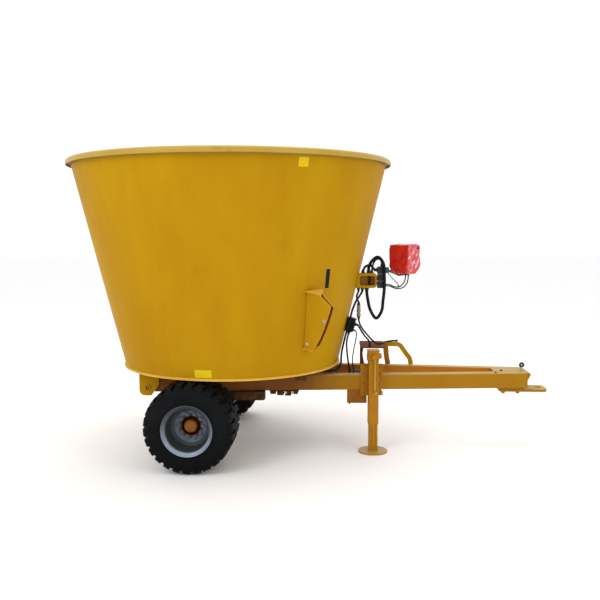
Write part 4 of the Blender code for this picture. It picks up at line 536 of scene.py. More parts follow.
tub_shell = add_new(
    "tub_shell", bpy.ops.mesh.primitive_cylinder_add, vertices=TUB_SIDES, radius=TUB_FOOT_RADIUS,
    end_fill_type="NOTHING", depth=TUB_TOP_Z - TUB_FOOT_Z,
    location=(TUB_X, 0.0, (TUB_TOP_Z + TUB_FOOT_Z) / 2))
bpy.ops.object.transform_apply(location=True, rotation=False, scale=False)
bpy.ops.object.mode_set(mode="EDIT")
choose(tub_shell, "verts", lambda v: v.co.z > 1.5)
spread_out = TUB_TOP_RADIUS / TUB_FOOT_RADIUS
bpy.ops.transform.resize(value=(spread_out, spread_out, 1.0), center_override=(TUB_X, 0.0, TUB_TOP_Z))
bpy.ops.object.mode_set(mode="OBJECT")
machine(tub_shell, "SOLIDIFY", thickness=TUB_SHEET, offset=-1.0, use_even_offset=True)
slit_tool = set_in(
    block("slit_tool", (SLIT_RUN[0], -SLIT_HALF, SLIT_Z[0]), (SLIT_RUN[1], SLIT_HALF, SLIT_Z[1])),
    knife_frame)
door_tool = set_in(
    block("door_tool", (-DOOR_HALF, DOOR_LOW, -0.3), (DOOR_HALF, DOOR_HIGH, 0.1)), wall_frame(DOOR_AZIMUTH))
cut_out(tub_shell, slit_tool, door_tool)


def cone_normal(spot):
    """The tub wall's outward direction at a place."""
    out = Vector((spot[0] - TUB_X, spot[1], 0.0)).normalized()
    return Vector((out.x * math.cos(TUB_SLOPE), out.y * math.cos(TUB_SLOPE), -math.sin(TUB_SLOPE)))


paint_zones(tub_shell, (wagon_paint, tub_inside), lambda f: f.normal.dot(cone_normal(f.center)) < -0.9)
fit(tub_shell, None, "tub_wall")
loop_normals = []
for face in tub_shell.data.polygons:
    facing = face.normal.dot(cone_normal(face.center))
    for corner in face.vertices:
        normal = cone_normal(tub_shell.data.vertices[corner].co)
        loop_normals.append(normal if facing > 0.9 else -normal if facing < -0.9 else face.normal)
tub_shell.data.normals_split_custom_set(loop_normals)


# Weld seams: the upright beads where the wall's three plates meet, ground low and painted over.
# Each is a shallow half-round strip on the outside of the cone.

SEAM_WIDTH = 0.007
SEAM_RIPPLES = 220


def lay_weld(name, line, width, height, finish):
    """A weld bead along a line of (place, outward) pairs, rippled as it was laid."""
    bead = add_new(
        name, bpy.ops.mesh.primitive_grid_add, x_subdivisions=4, y_subdivisions=len(line) - 1, size=1.0)
    rows = [(-0.5, -0.25), (-0.3, 0.65), (0.0, 1.0), (0.3, 0.65), (0.5, -0.25)]
    for number, corner in enumerate(bead.data.vertices):
        step, column = divmod(number, 5)
        place, outward = line[step]
        place, outward = Vector(place), Vector(outward).normalized()
        near = Vector(line[max(step - 1, 0)][0]) - Vector(line[min(step + 1, len(line) - 1)][0])
        across = near.normalized().cross(outward).normalized()
        ripple = 1.0 + 0.16 * math.sin(step * 2.1) + 0.05 * math.sin(step * 5.3)
        sideways, lift = rows[column]
        corner.co = place + across * sideways * width * ripple + outward * lift * height * ripple
    face_outwards()
    middle = bead.data.polygons[len(bead.data.polygons) // 2]
    if middle.normal.dot(Vector(line[len(line) // 2][1])) < 0:
        bead.data.flip_normals()
    return fit(bead, finish, smooth=80.0)


for number, azimuth in enumerate(SEAM_AZIMUTHS, 1):
    seam_line = []
    for k in range(SEAM_RIPPLES + 1):
        z = TUB_FOOT_Z + 0.003 + (TUB_TOP_Z - TUB_FOOT_Z - 0.006) * k / SEAM_RIPPLES
        angle = math.radians(azimuth)
        spot = Vector((TUB_X + tub_radius(z) * math.cos(angle), tub_radius(z) * math.sin(angle), z))
        seam_line.append((spot, cone_normal(spot)))
    lay_weld("tub_seam_%d" % number, seam_line, SEAM_WIDTH, 0.0012, wagon_paint)


# Rolled rim: six millimetre sheet rolled outwards over the wall's top and turned down outside.
# It stiffens the tub, and its free edge hangs clear of the wall.

RIM_FOOT_Z, RIM_ROLL_Z = 2.1603, 2.1843
RIM_MIDDLE, RIM_ROLL, RIM_SHEET = 1.218, 0.021, 0.006
RIM_DROP = 0.018

rim_profile = [(TUB_TOP_RADIUS - RIM_SHEET, RIM_FOOT_Z)]
for k in range(15):
    angle = math.pi * (1 - k / 14)
    rim_profile.append(
        (RIM_MIDDLE + (RIM_ROLL + RIM_SHEET / 2) * math.cos(angle),
        RIM_ROLL_Z + (RIM_ROLL + RIM_SHEET / 2) * math.sin(angle)))
rim_profile += [
    (RIM_MIDDLE + RIM_ROLL + RIM_SHEET / 2, RIM_ROLL_Z - RIM_DROP),
    (RIM_MIDDLE + RIM_ROLL - RIM_SHEET / 2, RIM_ROLL_Z - RIM_DROP)]
for k in range(15):
    angle = math.pi * k / 14
    rim_profile.append(
        (RIM_MIDDLE + (RIM_ROLL - RIM_SHEET / 2) * math.cos(angle),
        RIM_ROLL_Z + (RIM_ROLL - RIM_SHEET / 2) * math.sin(angle)))
rim_profile.append((TUB_TOP_RADIUS, RIM_FOOT_Z))
rolled_rim = turn_piece("rolled_rim", rim_profile, TUB_SIDES, centre=(TUB_X, 0.0, 0.0))
# The rolled rim takes the edge paint: a painted highlight along it.
fit(rolled_rim, edge_highlight_paint, "tub_lip", smooth=50.0)


# Floor plate: a flame-cut disc under the cone, painted in the bright edge paint, a painted highlight that
# makes its rim stand out.
# A fillet weld closes the corner between it and the wall all the way round.

FLOOR_RADIUS, FLOOR_Z = 0.851, (0.6447, 0.6547)

floor_plate = turn_piece(
    "floor_plate", ((0.0, FLOOR_Z[0]), (FLOOR_RADIUS - 0.002, FLOOR_Z[0]),
    (FLOOR_RADIUS - 0.0006, FLOOR_Z[0] + 0.0006), (FLOOR_RADIUS, FLOOR_Z[0] + 0.002),
    (FLOOR_RADIUS, FLOOR_Z[1] - 0.002), (FLOOR_RADIUS - 0.0006, FLOOR_Z[1] - 0.0006),
    (FLOOR_RADIUS - 0.002, FLOOR_Z[1]), (0.0, FLOOR_Z[1])), TUB_SIDES, centre=(TUB_X, 0.0, 0.0))
fit(floor_plate, bright_edge_highlight, "tub_floor", smooth=50.0)
foot_weld = []
for k in range(720):
    angle = math.tau * k / 719
    out = Vector((math.cos(angle), math.sin(angle), 0.0))
    foot_weld.append(
        (Vector((TUB_X, 0.0, FLOOR_Z[1] + 0.0015)) + out * (TUB_FOOT_RADIUS + 0.0015),
        out + Vector((0.0, 0.0, 1.0))))
# The floor weld is painted bright too: a painted highlight round the foot.
lay_weld("floor_weld", foot_weld, 0.01, 0.003, bright_edge_highlight)


# Mixing screw: a tapered column with one shrinking flight, sprayed and then polished by the feed.
# Bolted knife blades stand out of the flight's edge.

SCREW_Z = 0.6667
COLUMN_FOOT, COLUMN_TOP, COLUMN_HIGH, COLUMN_CAP = 0.16, 0.11, 1.06, 0.06
FLIGHT_TURNS, FLIGHT_HIGH, FLIGHT_PLATE = 2.25, 0.96, 0.012
FLIGHT_FOOT, FLIGHT_TOP = 0.745, 0.36
FLIGHT_STEPS = 200
BLADE_TURNS = (0.18, 0.58, 0.98, 1.38, 1.78)
BLADE_REACH, BLADE_ROOT, BLADE_WIDE, BLADE_PLATE = 0.075, 0.07, 0.11, 0.01

screw_paint = make_finish(
    "screw_paint", (0.46, 0.25, 0.012), (0.38, 0.2, 0.012), 5.0, (0.32, 0.5),
    grime=((0.33, 0.32, 0.3), 9.0, 0.5, 0.62), grain=(500.0, 0.0003))
worn_steel = make_finish(
    "worn_steel", (0.5, 0.49, 0.46), (0.34, 0.32, 0.29), 12.0, (0.3, 0.5),
    grime=((0.17, 0.1, 0.05), 30.0, 0.58, 0.8), grain=(350.0, 0.0003), metallic=1.0)

screw_column = turn_piece(
    "screw_column_turned", ((0.0, -0.0117), (0.11, -0.0117), (0.11, 0.0), (COLUMN_FOOT - 0.004, 0.0),
    (COLUMN_FOOT, 0.004), (COLUMN_FOOT, 0.03), (COLUMN_FOOT - 0.006, 0.038),
    (COLUMN_TOP + 0.003, COLUMN_HIGH - 0.02), (COLUMN_TOP + 0.006, COLUMN_HIGH - 0.016),
    (COLUMN_TOP + 0.006, COLUMN_HIGH - 0.004), (COLUMN_TOP, COLUMN_HIGH),
    (COLUMN_TOP * 0.86, COLUMN_HIGH + 0.022), (COLUMN_TOP * 0.62, COLUMN_HIGH + 0.048),
    (COLUMN_TOP * 0.34, COLUMN_HIGH + COLUMN_CAP), (0.0, COLUMN_HIGH + COLUMN_CAP)), 96,
    centre=(TUB_X, 0.0, SCREW_Z))
fit(screw_column, screw_paint, "screw_column", body="mixing_screw", slot="screw_steel", smooth=30.0)

flight = add_new(
    "screw_spiral", bpy.ops.mesh.primitive_grid_add, x_subdivisions=8, y_subdivisions=FLIGHT_STEPS, size=1.0)


def flight_edge(turn):
    return FLIGHT_FOOT + (FLIGHT_TOP - FLIGHT_FOOT) * turn / FLIGHT_TURNS


for number, corner in enumerate(flight.data.vertices):
    step, column = divmod(number, 9)
    turn = FLIGHT_TURNS * step / FLIGHT_STEPS
    height = FLIGHT_HIGH * turn / FLIGHT_TURNS
    inner = COLUMN_FOOT + (COLUMN_TOP - COLUMN_FOOT) * height / COLUMN_HIGH - 0.002
    radius = inner + (flight_edge(turn) - inner) * column / 8
    corner.co = (
        TUB_X + radius * math.cos(math.tau * turn), radius * math.sin(math.tau * turn), SCREW_Z + height)
if flight.data.polygons[0].normal.z < 0:
    flight.data.flip_normals()
machine(flight, "SOLIDIFY", thickness=FLIGHT_PLATE, offset=1.0)
round_edges(flight, 0.0015, 2, 60.0)


def is_worn(face):
    """The flight's edge, where the feed keeps it bare."""
    spot = face.center - Vector((TUB_X, 0.0, SCREW_Z))
    turn = (spot.z - FLIGHT_PLATE / 2) / FLIGHT_HIGH * FLIGHT_TURNS
    return math.hypot(spot.x, spot.y) > flight_edge(turn) - 0.012


paint_zones(flight, (screw_paint, worn_steel), is_worn)
fit(flight, None, "screw_flight", body="mixing_screw", slot="screw_steel", smooth=30.0)


def saw_plate(name, outline, thickness):
    """A flat plate: a ring of corners moved to the outline, filled and drawn out by a vector."""
    plate = add_new(name, bpy.ops.mesh.primitive_circle_add, vertices=len(outline), fill_type="NGON")
    for corner, place in zip(plate.data.vertices, outline):
        corner.co = place
    bpy.ops.object.mode_set(mode="EDIT")
    bpy.ops.mesh.select_all(action="SELECT")
    bpy.ops.mesh.extrude_region_move(TRANSFORM_OT_translate={"value": thickness})
    face_outwards()
    return plate


def bolt_model():
    """A hexagon head with its washer, across flats 1, standing up from the origin."""
    head = turn_piece("bolt_head", ((0.0, 0.1), (0.577, 0.1), (0.577, 0.58), (0.5, 0.66), (0.0, 0.66)), 6)
    ring = turn_piece(
        "bolt_washer", ((0.0, -0.06), (0.92, -0.06), (0.92, 0.08), (0.86, 0.12), (0.0, 0.12)), 20)
    return join_pieces("bolt_model", [head, ring])


def copy_of(model):
    """A copy of a piece, with a mesh of its own."""
    copy = model.copy()
    copy.data = model.data.copy()
    bpy.context.scene.collection.objects.link(copy)
    return copy


def set_bolts(name, places, finish, body="wagon", slot="bright_steel"):
    """Copies of one bolt head at each (place, outward, width across flats), as one object."""
    model = bolt_model()
    made = []
    for number, (place, outward, flats) in enumerate(places):
        copy = copy_of(model)
        outward = Vector(outward).normalized()
        turned = outward.to_track_quat("Z", "Y").to_matrix().to_4x4() @ Matrix.Rotation(number * 0.7, 4, "Z")
        set_in(copy, Matrix.Translation(Vector(place)) @ turned @ Matrix.Scale(flats, 4))
        made.append(copy)
    bpy.data.objects.remove(model)
    return fit(join_pieces(name, made), finish, body=body, slot=slot, smooth=25.0)


blade_bolts = []
for number, turn in enumerate(BLADE_TURNS, 1):
    edge = flight_edge(turn)
    lift = FLIGHT_HIGH * turn / FLIGHT_TURNS + FLIGHT_PLATE * 0.5
    around = Matrix.Translation((TUB_X, 0.0, SCREW_Z + lift)) @ Matrix.Rotation(math.tau * turn, 4, "Z")
    blade = saw_plate(
        "screw_blade_%d" % number, ((edge - BLADE_ROOT, -BLADE_WIDE / 2, 0.0),
        (edge + BLADE_REACH * 0.4, -BLADE_WIDE * 0.42, 0.0), (edge + BLADE_REACH, -BLADE_WIDE * 0.1, 0.0),
        (edge + BLADE_REACH * 0.8, BLADE_WIDE * 0.25, 0.0),
        (edge + BLADE_REACH * 0.2, BLADE_WIDE * 0.45, 0.0), (edge - BLADE_ROOT, BLADE_WIDE / 2, 0.0)),
        (0.0, 0.0, BLADE_PLATE))
    round_edges(blade, 0.002)
    fit(set_in(blade, around), worn_steel, body="mixing_screw", slot="screw_steel")
    for side in (-0.028, 0.028):
        blade_bolts.append(
            (around @ Vector((edge - BLADE_ROOT * 0.55, side, BLADE_PLATE)), (0.0, 0.0, 1.0), 0.019))
set_bolts("screw_blade_bolts", blade_bolts, zinc_steel, body="mixing_screw")


# Gearbox and driveline: an iron casting bolted under the floor, with the input housing at its front.
# A steel shaft runs forward from its coupling through the bearing on the cross member.

GEARBOX_TOP_Z, GEARBOX_HIGH = 0.6444, 0.225
INPUT_Z = 0.52
INPUT_RUN = (0.1, 0.47, 0.5)
SHAFT_RADIUS, COUPLING_RADIUS = 0.0225, 0.04
SHAFT_START, COUPLING_END, SHAFT_END = 0.5003, 0.5903, 1.33

cast_iron = make_finish(
    "cast_iron", (0.085, 0.08, 0.072), (0.05, 0.047, 0.043), 9.0, (0.5, 0.7),
    grime=((0.16, 0.095, 0.045), 20.0, 0.55, 0.8), grain=(180.0, 0.0012))
case_foot = GEARBOX_TOP_Z - GEARBOX_HIGH
gear_case = turn_piece(
    "gearbox_case", ((0.0, case_foot), (0.08, case_foot), (0.084, case_foot + 0.012),
    (0.14, case_foot + 0.014), (0.164, case_foot + 0.022), (0.19, case_foot + 0.06),
    (0.192, case_foot + 0.12), (0.205, case_foot + 0.124), (0.205, case_foot + 0.146),
    (0.192, case_foot + 0.15), (0.192, GEARBOX_TOP_Z - 0.026), (0.205, GEARBOX_TOP_Z - 0.022),
    (0.205, GEARBOX_TOP_Z), (0.0, GEARBOX_TOP_Z)), 64, centre=(TUB_X, 0.0, 0.0))
for k in range(12):
    angle = math.radians(15 + 30 * k)
    rib = block("case_rib", (0.13, -0.005, case_foot + 0.02), (0.198, 0.005, GEARBOX_TOP_Z - 0.01))
    set_in(rib, Matrix.Translation((TUB_X, 0.0, 0.0)) @ Matrix.Rotation(angle, 4, "Z"))
    merge_in(gear_case, rib)
input_housing = turn_piece(
    "gearbox_input", ((0.0, INPUT_RUN[0]), (0.088, INPUT_RUN[0]), (0.088, 0.24), (0.078, 0.256),
    (0.078, 0.44), (0.088, 0.456), (0.105, INPUT_RUN[1]), (0.105, INPUT_RUN[2] - 0.003),
    (0.102, INPUT_RUN[2]), (0.05, INPUT_RUN[2]), (0.048, INPUT_RUN[2] - 0.004), (0.0, INPUT_RUN[2] - 0.004)),
    48, axis=(1.0, 0.0, 0.0), centre=(TUB_X, 0.0, INPUT_Z))
gear_case = join_pieces("gearbox_case", [gear_case, input_housing])
round_edges(gear_case, 0.0015, 1, 40.0)
fit(gear_case, cast_iron, "gearbox", slot="cast_housing")
gear_bolts = []
for k in range(12):
    angle = math.tau * k / 12
    gear_bolts.append(
        ((TUB_X + 0.198 * math.cos(angle), 0.198 * math.sin(angle), case_foot + 0.124), (0.0, 0.0, -1.0),
        0.014))
for k in range(8):
    angle = math.tau * (k + 0.5) / 8
    gear_bolts.append(
        ((TUB_X + INPUT_RUN[1], 0.096 * math.cos(angle), INPUT_Z + 0.096 * math.sin(angle)),
        (-1.0, 0.0, 0.0), 0.013))
set_bolts("gearbox_bolts", gear_bolts, zinc_steel)

shaft_steel = make_finish(
    "shaft_steel", (0.5, 0.49, 0.46), (0.38, 0.37, 0.34), 14.0, (0.28, 0.45),
    grime=((0.14, 0.08, 0.04), 26.0, 0.56, 0.78), grain=(500.0, 0.0002), metallic=1.0)
shaft_bar = turn_piece(
    "shaft_bar", ((0.0, SHAFT_START), (COUPLING_RADIUS - 0.002, SHAFT_START),
    (COUPLING_RADIUS, SHAFT_START + 0.002), (COUPLING_RADIUS, SHAFT_START + 0.03),
    (COUPLING_RADIUS - 0.007, SHAFT_START + 0.034), (COUPLING_RADIUS - 0.007, COUPLING_END - 0.034),
    (COUPLING_RADIUS, COUPLING_END - 0.03), (COUPLING_RADIUS, COUPLING_END - 0.002),
    (COUPLING_RADIUS - 0.002, COUPLING_END), (SHAFT_RADIUS, COUPLING_END), (SHAFT_RADIUS, SHAFT_END - 0.13),
    (SHAFT_RADIUS - 0.004, SHAFT_END - 0.126), (SHAFT_RADIUS - 0.004, SHAFT_END - 0.003),
    (SHAFT_RADIUS - 0.007, SHAFT_END), (0.0, SHAFT_END)), 48, axis=(1.0, 0.0, 0.0),
    centre=(TUB_X, 0.0, INPUT_Z))
splines = []
for k in range(6):
    tooth = block(
        "shaft_tooth", (TUB_X + SHAFT_END - 0.12, -0.0045, 0.0),
        (TUB_X + SHAFT_END - 0.004, 0.0045, SHAFT_RADIUS - 0.0006))
    splines.append(
        set_in(tooth, Matrix.Translation((0.0, 0.0, INPUT_Z)) @ Matrix.Rotation(math.tau * k / 6, 4, "X")))
shaft_bar = join_pieces("shaft_bar", [shaft_bar] + splines)
fit(shaft_bar, shaft_steel, "drive_shaft", body="input_shaft", slot="bright_steel", smooth=30.0)

CROSS_X, CROSS_LONG, CROSS_TOP_Z, CROSS_HIGH = 0.3755, 0.15, 0.4667, 0.104
bearing = block(
    "bearing_block", (CROSS_X - 0.024, -0.036, CROSS_TOP_Z + 0.01), (CROSS_X + 0.024, 0.036, INPUT_Z + 0.02))
merge_in(
    bearing, block("bearing_foot", (CROSS_X - 0.03, -0.06, CROSS_TOP_Z + 0.0004),
    (CROSS_X + 0.03, 0.06, CROSS_TOP_Z + 0.014)),
    round_bar("bearing_ring", 0.055, -0.028, 0.028, 40, axis=(1.0, 0.0, 0.0),
    centre=(CROSS_X, 0.0, INPUT_Z)))
cut_out(
    bearing, round_bar("bearing_bore", SHAFT_RADIUS + 0.0004, -0.1, 0.1, 48, axis=(1.0, 0.0, 0.0),
    centre=(CROSS_X, 0.0, INPUT_Z)))
round_edges(bearing, 0.0025, 2, 40.0)
fit(bearing, cast_iron, "shaft_bearing", slot="cast_housing")
set_bolts(
    "bearing_bolts", [((CROSS_X, side * 0.049, CROSS_TOP_Z + 0.014), (0, 0, 1), 0.017) for side in (-1, 1)],
    zinc_steel)


# Chassis: two box-section beams that close in towards the front, with bearers under the tub.
# All are cut from steel tube with rounded corners, welded together and sprayed.

BEAM_Z = (0.467, 0.585)
BEAM_REAR_X, BEAM_FRONT_X, BEAM_WIDE = -1.1495, 1.6735, 0.08
BEAM_TAPER, JACK_X, BEAM_AT_JACK = 0.0942, 0.4925, 0.2403
BEARER_HALF_WIDE, BEARER_HALF_LONG = 0.04, 0.5
BEARERS = (("bearer_rear", -1.0495), ("bearer_front", -0.0395))
TUBE_CORNER = 0.009
SIDES = (("near", -1), ("far", 1))


def beam_face(x):
    """Distance of a beam's outer face from the wagon's centre plane."""
    return BEAM_AT_JACK - BEAM_TAPER * (x - JACK_X)


for side_name, side in SIDES:
    rear, front = beam_face(BEAM_REAR_X), beam_face(BEAM_FRONT_X)
    beam = saw_plate(
        "frame_beam_" + side_name, [(BEAM_REAR_X, side * rear, BEAM_Z[0]),
        (BEAM_FRONT_X, side * front, BEAM_Z[0]), (BEAM_FRONT_X, side * (front - BEAM_WIDE), BEAM_Z[0]),
        (BEAM_REAR_X, side * (rear - BEAM_WIDE), BEAM_Z[0])], (0.0, 0.0, BEAM_Z[1] - BEAM_Z[0]))
    round_along(beam, 0, 1.0, TUBE_CORNER, 5)
    # Inward faces take the painted shade orange, and up-facing faces take the painted top highlight.
    paint_zones(
        beam, (chassis_paint, top_highlight_paint, inner_shade_orange),
        lambda f: 2 if f.normal.y * side < -0.7 else f.normal.z > 0.45)
    fit(beam, None, "beam_" + side_name)

for bearer_name, x in BEARERS:
    bearer = block(
        bearer_name + "_tube", (x - BEARER_HALF_WIDE, -BEARER_HALF_LONG, BEAM_Z[1] + 0.0003),
        (x + BEARER_HALF_WIDE, BEARER_HALF_LONG, FLOOR_Z[0] - 0.0003))
    round_along(bearer, 1, 0.5, 0.006)
    # The bearers under the tub take the dark brown of painted shade.
    fit(bearer, under_shade_brown, bearer_name)

cross_half = beam_face(CROSS_X + CROSS_LONG / 2) - 0.002
cross = block(
    "cross_box", (CROSS_X - CROSS_LONG / 2, -cross_half, CROSS_TOP_Z - CROSS_HIGH),
    (CROSS_X + CROSS_LONG / 2, cross_half, CROSS_TOP_Z))
round_along(cross, 1, 0.2, 0.007)
bow_orange = make_finish(
    "bow_orange", (0.3, 0.115, 0.014), (0.22, 0.076, 0.01), 12.0, (0.5, 0.65),
    grime=((0.12, 0.044, 0.012), 24.0, 0.58, 0.8), grain=(300.0, 0.0003), specular=0.05)
fit(cross, bow_orange, "cross_member")

beam_welds = []
for side_name, side in SIDES:
    for bearer_name, x in BEARERS:
        for edge in (-1, 1):
            line = []
            for k in range(24):
                y = beam_face(x) - 0.004 - (BEAM_WIDE - 0.008) * k / 23
                line.append(
                    ((x + edge * (BEARER_HALF_WIDE + 0.0005), side * y, BEAM_Z[1] + 0.0005),
                    (edge, 0.0, 1.0)))
            beam_welds.append(line)
for number, line in enumerate(beam_welds, 1):
    # The welds under the tub take the dark brown of painted shade.
    lay_weld("beam_weld_%d" % number, line, 0.008, 0.0035, under_shade_brown)


# Hose clips: clamp blocks and a hanging peg under the near beam's outer edge.
# They are dark moulded halves on a flat bar, bolted up from the side with plated bolts.

CLIP_BLOCKS = ((-0.284, -0.24, 0.44), (-0.232, -0.18, 0.43), (-0.172, -0.124, 0.426), (-0.114, -0.072, 0.438))
CLIP_TOP_Z, CLIP_OUT, CLIP_DEEP = 0.4665, 0.006, 0.046
PEG_X, PEG_Y, PEG_Z = 0.319, -0.225, (0.352, 0.468)

clips = []
for first, last, foot_z in CLIP_BLOCKS:
    face_y = -beam_face(last) + CLIP_OUT
    clip = block("hose_clip", (first, face_y - CLIP_OUT * 2, foot_z), (last, face_y + CLIP_DEEP, CLIP_TOP_Z))
    round_edges(clip, 0.007, 3)
    clips.append(clip)
clip_bar = block(
    "clip_bar", (CLIP_BLOCKS[0][0] - 0.006, -beam_face(0.0) - 0.018, 0.46),
    (CLIP_BLOCKS[-1][1] + 0.006, -beam_face(0.0) + 0.034, CLIP_TOP_Z))
round_edges(clip_bar, 0.0015)
# The clips take the dark brown of painted shade under the beam.
fit(join_pieces("beam_hose_clips", clips + [clip_bar]), under_shade_brown, slot="dark_plastic")
set_bolts(
    "beam_clip_bolts", [((x, -beam_face(x) - 0.0105, 0.453), (0.0, -1.0, 0.0), 0.011)
    for x in (-0.166, -0.114)], zinc_steel)
peg = turn_piece(
    "beam_peg", ((0.0, PEG_Z[0] + 0.022), (0.0052, PEG_Z[0] + 0.022), (0.0052, PEG_Z[1] - 0.012),
    (0.011, PEG_Z[1] - 0.012), (0.011, PEG_Z[1] - 0.001), (0.0, PEG_Z[1] - 0.001)), 20,
    centre=(PEG_X, PEG_Y, 0.0))
fit(peg, zinc_steel, slot="bright_steel")
peg_tip = turn_piece(
    "beam_peg_tip", ((0.0, PEG_Z[0]), (0.006, PEG_Z[0]), (0.0072, PEG_Z[0] + 0.003),
    (0.0072, PEG_Z[0] + 0.026), (0.0056, PEG_Z[0] + 0.03), (0.0, PEG_Z[0] + 0.03)), 20,
    centre=(PEG_X, PEG_Y, 0.0))
fit(peg_tip, black_steel, slot="dark_plastic")


# Nose and tongue: the plate and wedge between the beams' front ends, and the flat towing tongue.
# The tongue is bolted up from below; a tie rod lug and the hose ring sit at the nose.

NOSE_LONG, NOSE_PLATE = 0.235, 0.012
TONGUE_X, TONGUE_HALF, TONGUE_PACK, TONGUE_PLATE = (1.4835, 1.8515), 0.085, 0.018, 0.022
TONGUE_HOLE_X, TONGUE_HOLE = 1.7925, 0.026
RING_X, RING_RADIUS, RING_ROD = 1.666, 0.013, 0.0085
RING_LIFT = 0.026
LIP_HALF = 0.118
LIP_LINE = ((0.0002, 0.585), (0.014, 0.583), (0.025, 0.573), (0.0225, 0.561), (0.005, 0.528), (0.0002, 0.528))


def is_top(face):
    """Faces that look up, painted paler as a painted highlight of the light from above."""
    return face.normal.z > 0.45


nose_rear = BEAM_FRONT_X - NOSE_LONG
inner_rear = beam_face(nose_rear) - BEAM_WIDE - 0.0003
inner_front = beam_face(BEAM_FRONT_X) - BEAM_WIDE - 0.0003
outer_front = beam_face(BEAM_FRONT_X)
nose_face = BEAM_FRONT_X + 0.0003
nose = saw_plate(
    "nose_wedge", [(nose_rear, -inner_rear, BEAM_Z[0] + 0.001), (nose_face, -inner_front, BEAM_Z[0] + 0.001),
    (nose_face, -outer_front, BEAM_Z[0] + 0.001), (nose_face + NOSE_PLATE, -outer_front, BEAM_Z[0] + 0.001),
    (nose_face + NOSE_PLATE, outer_front, BEAM_Z[0] + 0.001), (nose_face, outer_front, BEAM_Z[0] + 0.001),
    (nose_face, inner_front, BEAM_Z[0] + 0.001), (nose_rear, inner_rear, BEAM_Z[0] + 0.001)],
    (0.0, 0.0, BEAM_Z[1] - BEAM_Z[0] - 0.0014))
round_edges(nose, 0.002)
# Up-facing faces get the painted top highlight.
paint_zones(nose, (chassis_paint, top_highlight_paint), is_top)
fit(nose, None, "nose")
lip = saw_plate(
    "nose_hook", [(nose_face + NOSE_PLATE + x, -LIP_HALF, z) for x, z in LIP_LINE], (0.0, 2 * LIP_HALF, 0.0))
round_edges(lip, 0.002)
# Up-facing faces get the painted top highlight.
paint_zones(lip, (chassis_paint, top_highlight_paint), is_top)
fit(lip, None)
# The nose bolts take the same dark brown that paints shade under the wagon.
set_bolts(
    "nose_bolts", [((1.5, -0.04, BEAM_Z[1]), (0.0, 0.0, 1.0), 0.013),
    ((1.44, -beam_face(1.44) + 0.02, BEAM_Z[1]), (0.0, 0.0, 1.0), 0.012)], under_shade_brown)

tongue_top = BEAM_Z[0] - 0.0003 - TONGUE_PACK
tongue_rear, tongue_front = TONGUE_X
tip = 0.032
tongue = saw_plate(
    "tongue_plate", [(tongue_rear, -TONGUE_HALF, tongue_top - TONGUE_PLATE),
    (tongue_front - tip, -TONGUE_HALF, tongue_top - TONGUE_PLATE),
    (tongue_front - tip * 0.3, -TONGUE_HALF * 0.86, tongue_top - TONGUE_PLATE),
    (tongue_front, -TONGUE_HALF * 0.55, tongue_top - TONGUE_PLATE),
    (tongue_front, TONGUE_HALF * 0.55, tongue_top - TONGUE_PLATE),
    (tongue_front - tip * 0.3, TONGUE_HALF * 0.86, tongue_top - TONGUE_PLATE),
    (tongue_front - tip, TONGUE_HALF, tongue_top - TONGUE_PLATE),
    (tongue_rear, TONGUE_HALF, tongue_top - TONGUE_PLATE)], (0.0, 0.0, TONGUE_PLATE))
packer = saw_plate(
    "tongue_packer", [(tongue_rear, -TONGUE_HALF, tongue_top),
    (tongue_rear, -TONGUE_HALF, BEAM_Z[0] - 0.0003), (BEAM_FRONT_X, -TONGUE_HALF, BEAM_Z[0] - 0.0003),
    (BEAM_FRONT_X, -TONGUE_HALF, tongue_top)], (0.0, 2 * TONGUE_HALF, 0.0))
cut_out(tongue, round_bar("tongue_bore", TONGUE_HOLE, 0.0, 0.6, 48, centre=(TONGUE_HOLE_X, 0.0, 0.0)))
round_edges(tongue, 0.0025)
round_edges(packer, 0.0015)
tongue = join_pieces("tongue_plate", [tongue, packer])
# Up-facing faces get the painted top highlight.
paint_zones(tongue, (chassis_paint, top_highlight_paint), is_top)
fit(tongue, None, "tongue")
tongue_under = tongue_top - TONGUE_PLATE
set_bolts(
    "tongue_bolts", [((x, side * 0.058, tongue_under), (0, 0, -1), 0.024) for x in (1.515, 1.625)
    for side in (-1, 1)], chassis_paint, slot="wagon_paint")

ring_z = BEAM_Z[1] + RING_LIFT + RING_RADIUS
ring_profile = [
    (RING_RADIUS + RING_ROD * math.cos(math.tau * k / 12), RING_ROD * math.sin(math.tau * k / 12))
    for k in range(12)]
hose_eye = turn_piece("hose_eye", ring_profile, 40, axis=(0.0, 1.0, 0.0), centre=(RING_X, 0.0, ring_z))
eye_foot = turn_piece(
    "hose_eye_foot", ((0.0, 0.0003), (0.014, 0.0003), (0.014, 0.004), (0.009, 0.006), (0.009, 0.024),
    (0.0, 0.026)), 24, centre=(RING_X, 0.0, BEAM_Z[1]))
fit(hose_eye, black_steel, "hose_ring", smooth=60.0)
fit(eye_foot, zinc_steel, slot="bright_steel")


# Rear lugs: flame-cut plates on the beams' rear ends, each with a hole for a shackle pin.
# A turned boss is welded round each hole.

LUG_X, LUG_Z, LUG_PLATE = (-1.2645, -1.1145), (0.442, 0.612), 0.014
LUG_HOLE_X, LUG_HOLE_Z, LUG_HOLE = -1.2015, 0.5, 0.016
LUG_CORNER, LUG_SLANT = 0.042, 0.06

